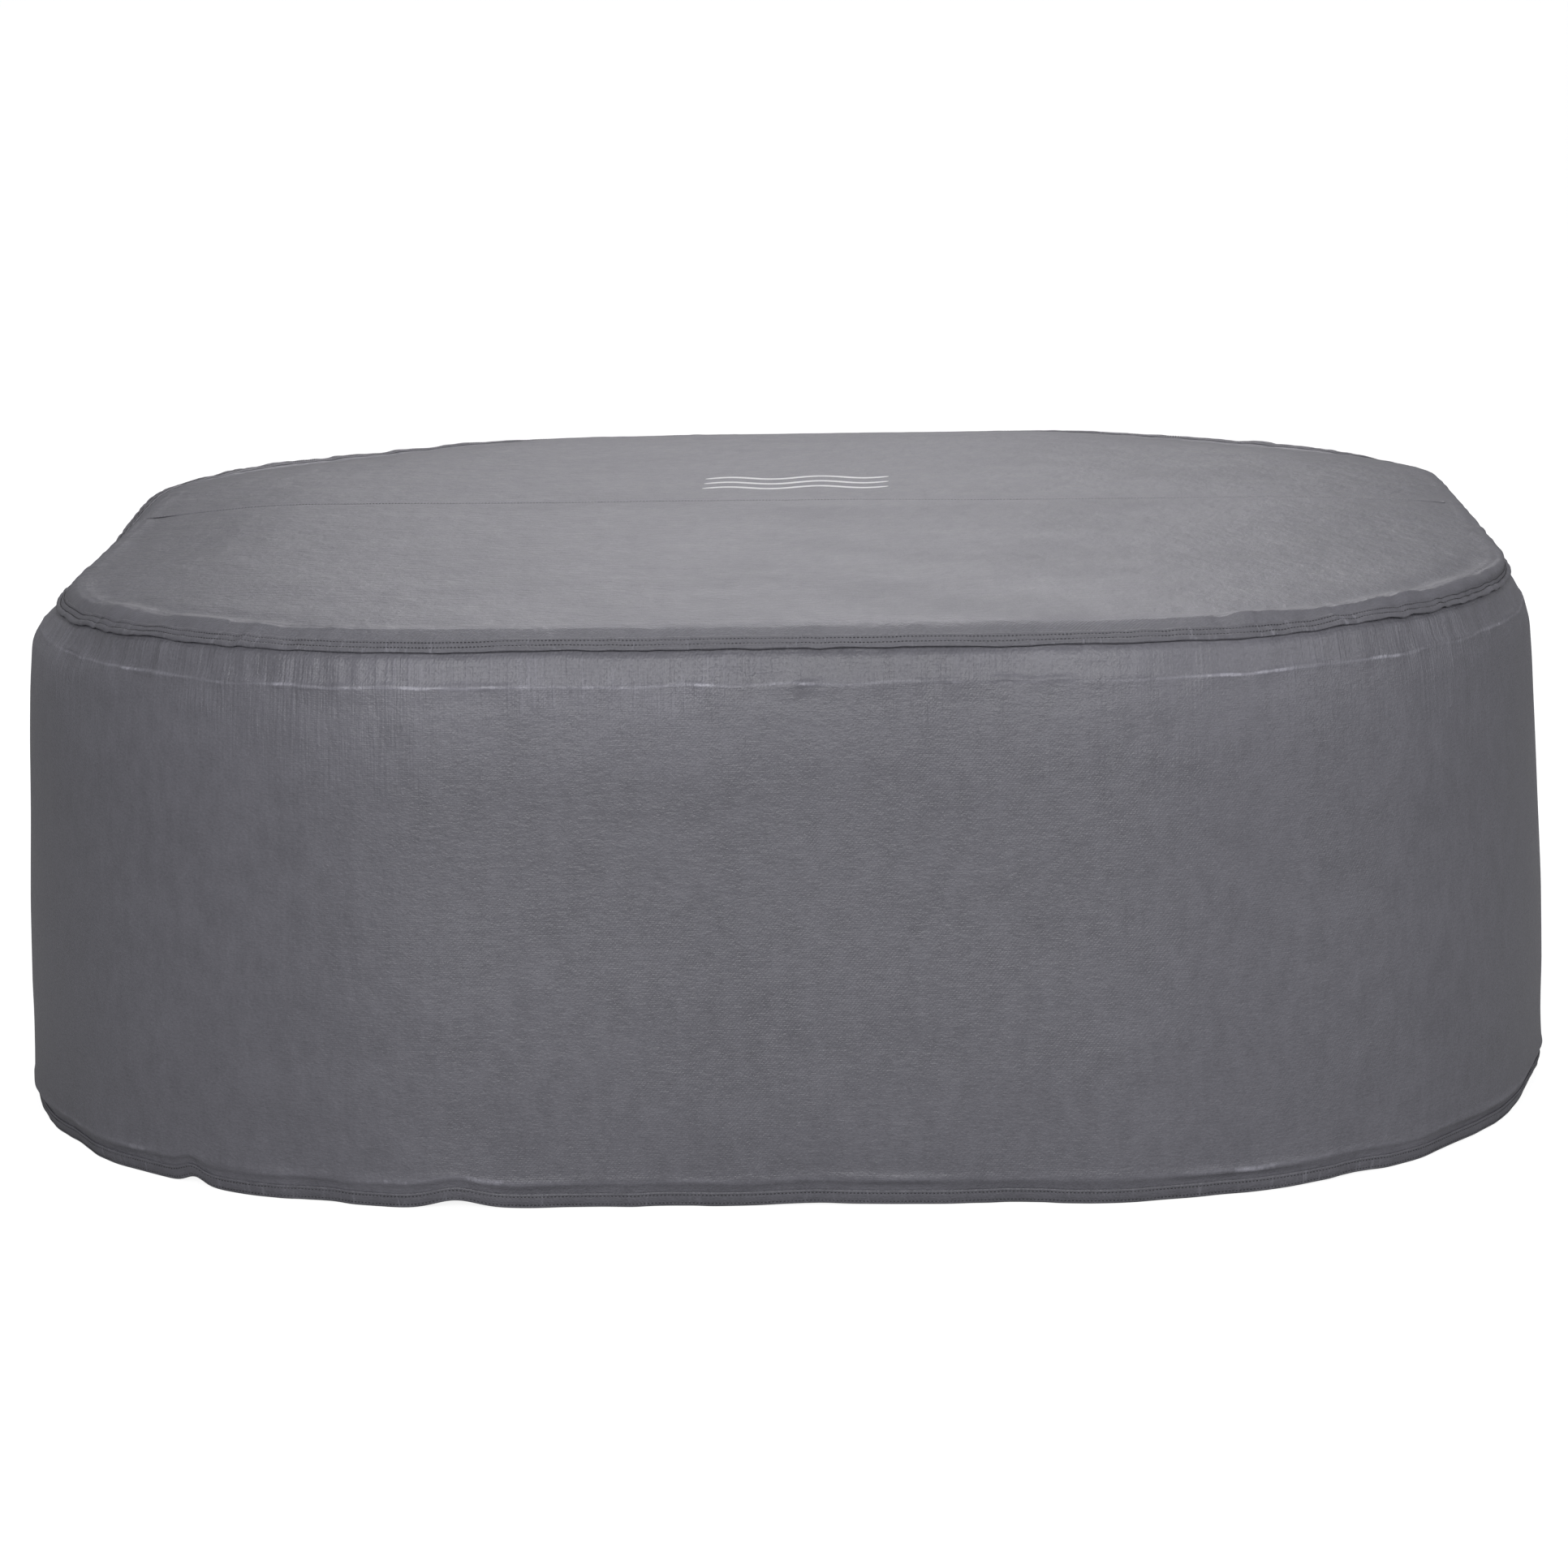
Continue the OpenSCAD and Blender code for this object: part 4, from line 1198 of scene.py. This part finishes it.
band("flap_pull_tab", "webbing", 2, web_material, "port_flap", "webbing", 8, (-12 * MM, 12 * MM))

# ---------------------------------------------------------------- the padded flap over the port
FLAP_HALF, FLAP_FOOT = 281 * MM, flap_low.z + 1.6 * MM
FLAP_TOP, FLAP_CORNER = flap_high.z, 16 * MM
FLAP_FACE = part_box("flap_shell")[1].y        # y of the flat part of the flap's face


def flap_half(z):
    """Half the flap's width at a height, with its bottom corners rounded."""
    rise = np.clip(FLAP_CORNER - (z - FLAP_FOOT), 0, FLAP_CORNER)
    return FLAP_HALF - FLAP_CORNER + np.sqrt(FLAP_CORNER ** 2 - rise ** 2)


def flap_swell(x, z):
    """How far the padding swells the flap's face, with drag wrinkles from the neck and the pull tab."""
    inside = ramp(FLAP_HALF - 10 * MM - np.abs(x), 0, 60 * MM)
    inside = inside * ramp(z, FLAP_FOOT + 10 * MM, FLAP_FOOT + 70 * MM)
    inside = inside * ramp(z, FLAP_TOP + 4 * MM, FLAP_TOP - 50 * MM)
    swell = 2.2 * MM * inside + 1.0 * MM * inside * cloud(301, x, z, 120 * MM, 90 * MM, OPEN)
    swell = swell + 0.45 * MM * inside * cloud(302, x, z, 34 * MM, 120 * MM, OPEN)
    top = ramp(z, FLAP_TOP - 120 * MM, FLAP_TOP - 4 * MM)
    return swell + 0.5 * MM * top * cloud(303, x, z, 22 * MM, 70 * MM, OPEN)


def flap_ply(name, material, y_outer, thickness, swell, slot, node, neck=False):
    """One ply of the flap; the shell goes on through its neck to the seam above."""
    z = samples((FLAP_FOOT, FLAP_FOOT + 24 * MM, 3 * MM), (FLAP_FOOT + 24 * MM, FLAP_TOP, 6 * MM))
    u = samples((-1, 1, 6 * MM / FLAP_HALF))
    x = u[:, None] * flap_half(z)[None]
    y = y_outer + swell * flap_swell(x, z[None])
    points = np.stack([x, y, np.broadcast_to(z[None], x.shape)], -1)
    if neck:
        bend = [(1.5, -0.6), (3.4, -2.6), (5, -5.2), (7.4, -6.9), (10, -7.5), (13, -7.7), (15.5, -7.8),
                (18, -7.85), (20.5, -7.9), (23, -7.9)]
        extra = []
        for rise, back_by in bend:
            row = points[:, -1:] + np.array([0, back_by * MM, rise * MM])
            row[..., 1] += (y_outer - points[:, -1:, 1]) * min(1, rise / 8)
            extra.append(row)
        points = np.concatenate([points] + extra, 1)
        z = np.append(z, FLAP_TOP + np.cumsum(np.full(len(bend), 3 * MM)))
    piece = grid_piece(name, points[::-1], u[::-1] * FLAP_HALF, z, material)
    thicken(piece, thickness)
    own(piece, None if neck else "port_flap", slot, node)
    return piece


flap_shell = flap_ply("flap_shell_cloth", cloth_material, FLAP_FACE, SHELL_T, 1, "shell_fabric", "flap_shell",
                      True)
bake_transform(flap_shell)
flap_pad = flap_ply("flap_insulation_foam", foam_material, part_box("flap_insulation")[1].y - 0.4 * MM,
                    4 * MM, 0.8, "insulation_foam", "flap_insulation")
flap_liner = flap_ply("flap_liner_foil", foil_material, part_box("flap_liner")[1].y, 0.7 * MM, 0.0,
                      "foil_liner", "flap_liner")

flap_path, flap_normals = bent_path([
    (FLAP_HALF, FLAP_TOP), (FLAP_HALF, FLAP_FOOT), (-FLAP_HALF, FLAP_FOOT), (-FLAP_HALF, FLAP_TOP)
], FLAP_CORNER, 5 * MM)
bound_edge("flap_binding", flap_path, -flap_normals, FLAP_FACE, "port_flap")
neck_x = np.arange(-FLAP_HALF + 3 * MM, FLAP_HALF - 3 * MM, 3.6 * MM)
places = np.array([(x, FLAP_FACE - 7.7 * MM, FLAP_TOP + 21.4 * MM) for x in neck_x])
stitch_row("flap_neck_stitches", places, np.tile([0.0, 1.0, 0.0], (len(neck_x), 1)), "jacket", "seam_tape")


# ---------------------------------------------------------------- camera, lights and floor
def look_from(azimuth, elevation, distance, target, aim_azimuth, aim_elevation, roll, lens):
    """The camera: where it stands round the target, and the direction that it aims in."""
    def towards(a, e):
        a, e = math.radians(a), math.radians(e)
        return Vector((math.sin(a) * math.cos(e), -math.cos(a) * math.cos(e), math.sin(e)))
    data = bpy.data.cameras.new("camera")
    data.lens = lens
    data.sensor_width = 36
    data.clip_end = 400
    camera = bpy.data.objects.new("camera", data)
    bpy.context.scene.collection.objects.link(camera)
    back = towards(aim_azimuth, aim_elevation)
    right = Vector((0, 0, 1)).cross(back).normalized()
    up = back.cross(right)
    turn = math.radians(roll)
    right, up = (right * math.cos(turn) + up * math.sin(turn), up * math.cos(turn) - right * math.sin(turn))
    place = Vector(target) + distance * towards(azimuth, elevation)
    basis = Matrix((right, up, back)).transposed().to_4x4()
    camera.matrix_world = Matrix.Translation(place) @ basis
    bpy.context.scene.camera = camera


look_from(azimuth=1.76, elevation=11.37, distance=5.59, target=(0, 0, 0.35), aim_azimuth=1.85,
          aim_elevation=12.10, roll=-1.07, lens=101.6)


def soft_light(name, place, aim, size, power, color=(1, 1, 1)):
    """A rectangular light that points at its aim."""
    data = bpy.data.lights.new(name, "AREA")
    data.shape = "RECTANGLE"
    data.size, data.size_y = size
    data.energy = power
    data.color = color
    light = bpy.data.objects.new(name, data)
    light.location = place
    light.rotation_euler = (Vector(aim) - Vector(place)).to_track_quat("-Z", "Y").to_euler()
    bpy.context.scene.collection.objects.link(light)


def seen_and_cast(tree, seen, cast):
    """A strength that is one value as the camera sees it and another as it lights the object."""
    path = tree.nodes.new("ShaderNodeLightPath")
    choose = tree.nodes.new("ShaderNodeMapRange")
    choose.inputs["To Min"].default_value = cast
    choose.inputs["To Max"].default_value = seen
    tree.links.new(path.outputs["Is Camera Ray"], choose.inputs["Value"])
    return choose.outputs[0]


world = bpy.data.worlds.new("studio")
bpy.context.scene.world = world
world.use_nodes = True
backdrop = world.node_tree.nodes["Background"]
backdrop.inputs["Color"].default_value = (0.98, 0.98, 1.0, 1)
world.node_tree.links.new(seen_and_cast(world.node_tree, 0.97, 0.31), backdrop.inputs["Strength"])

soft_light("back_panel", (0.0, 4.2, 2.9), (0, 0, 0.4), (2.4, 1.35), 40, (0.98, 0.96, 1.0))
soft_light("top_panel", (0.2, 0.1, 4.7), (0.1, 0.0, 0.6), (3.0, 2.4), 48)
soft_light("front_panel", (-0.4, -5.7, 2.5), (0, 0, 0.4), (4.6, 1.3), 168)
soft_light("right_panel", (4.6, -3.0, 2.0), (0.6, 0, 0.3), (2.0, 1.6), 42)

floor_look = Shader("pale_floor", (0.36, 0.36, 0.36), 0.9)
floor_look.bsdf.inputs["Emission Color"].default_value = (1, 1, 1, 1)
floor_look.tree.links.new(seen_and_cast(floor_look.tree, 0.88, 0.04),
                          floor_look.bsdf.inputs["Emission Strength"])
FLOOR = 60.0                                       # half the floor's width, past the camera's view
floor = add_piece("floor", [(x * FLOOR, y * FLOOR, 0) for x, y in ((-1, -1), (1, -1), (1, 1), (-1, 1))],
                  [(0, 1, 2, 3)], floor_look.material)
bpy.context.scene.view_settings.view_transform = "Standard"
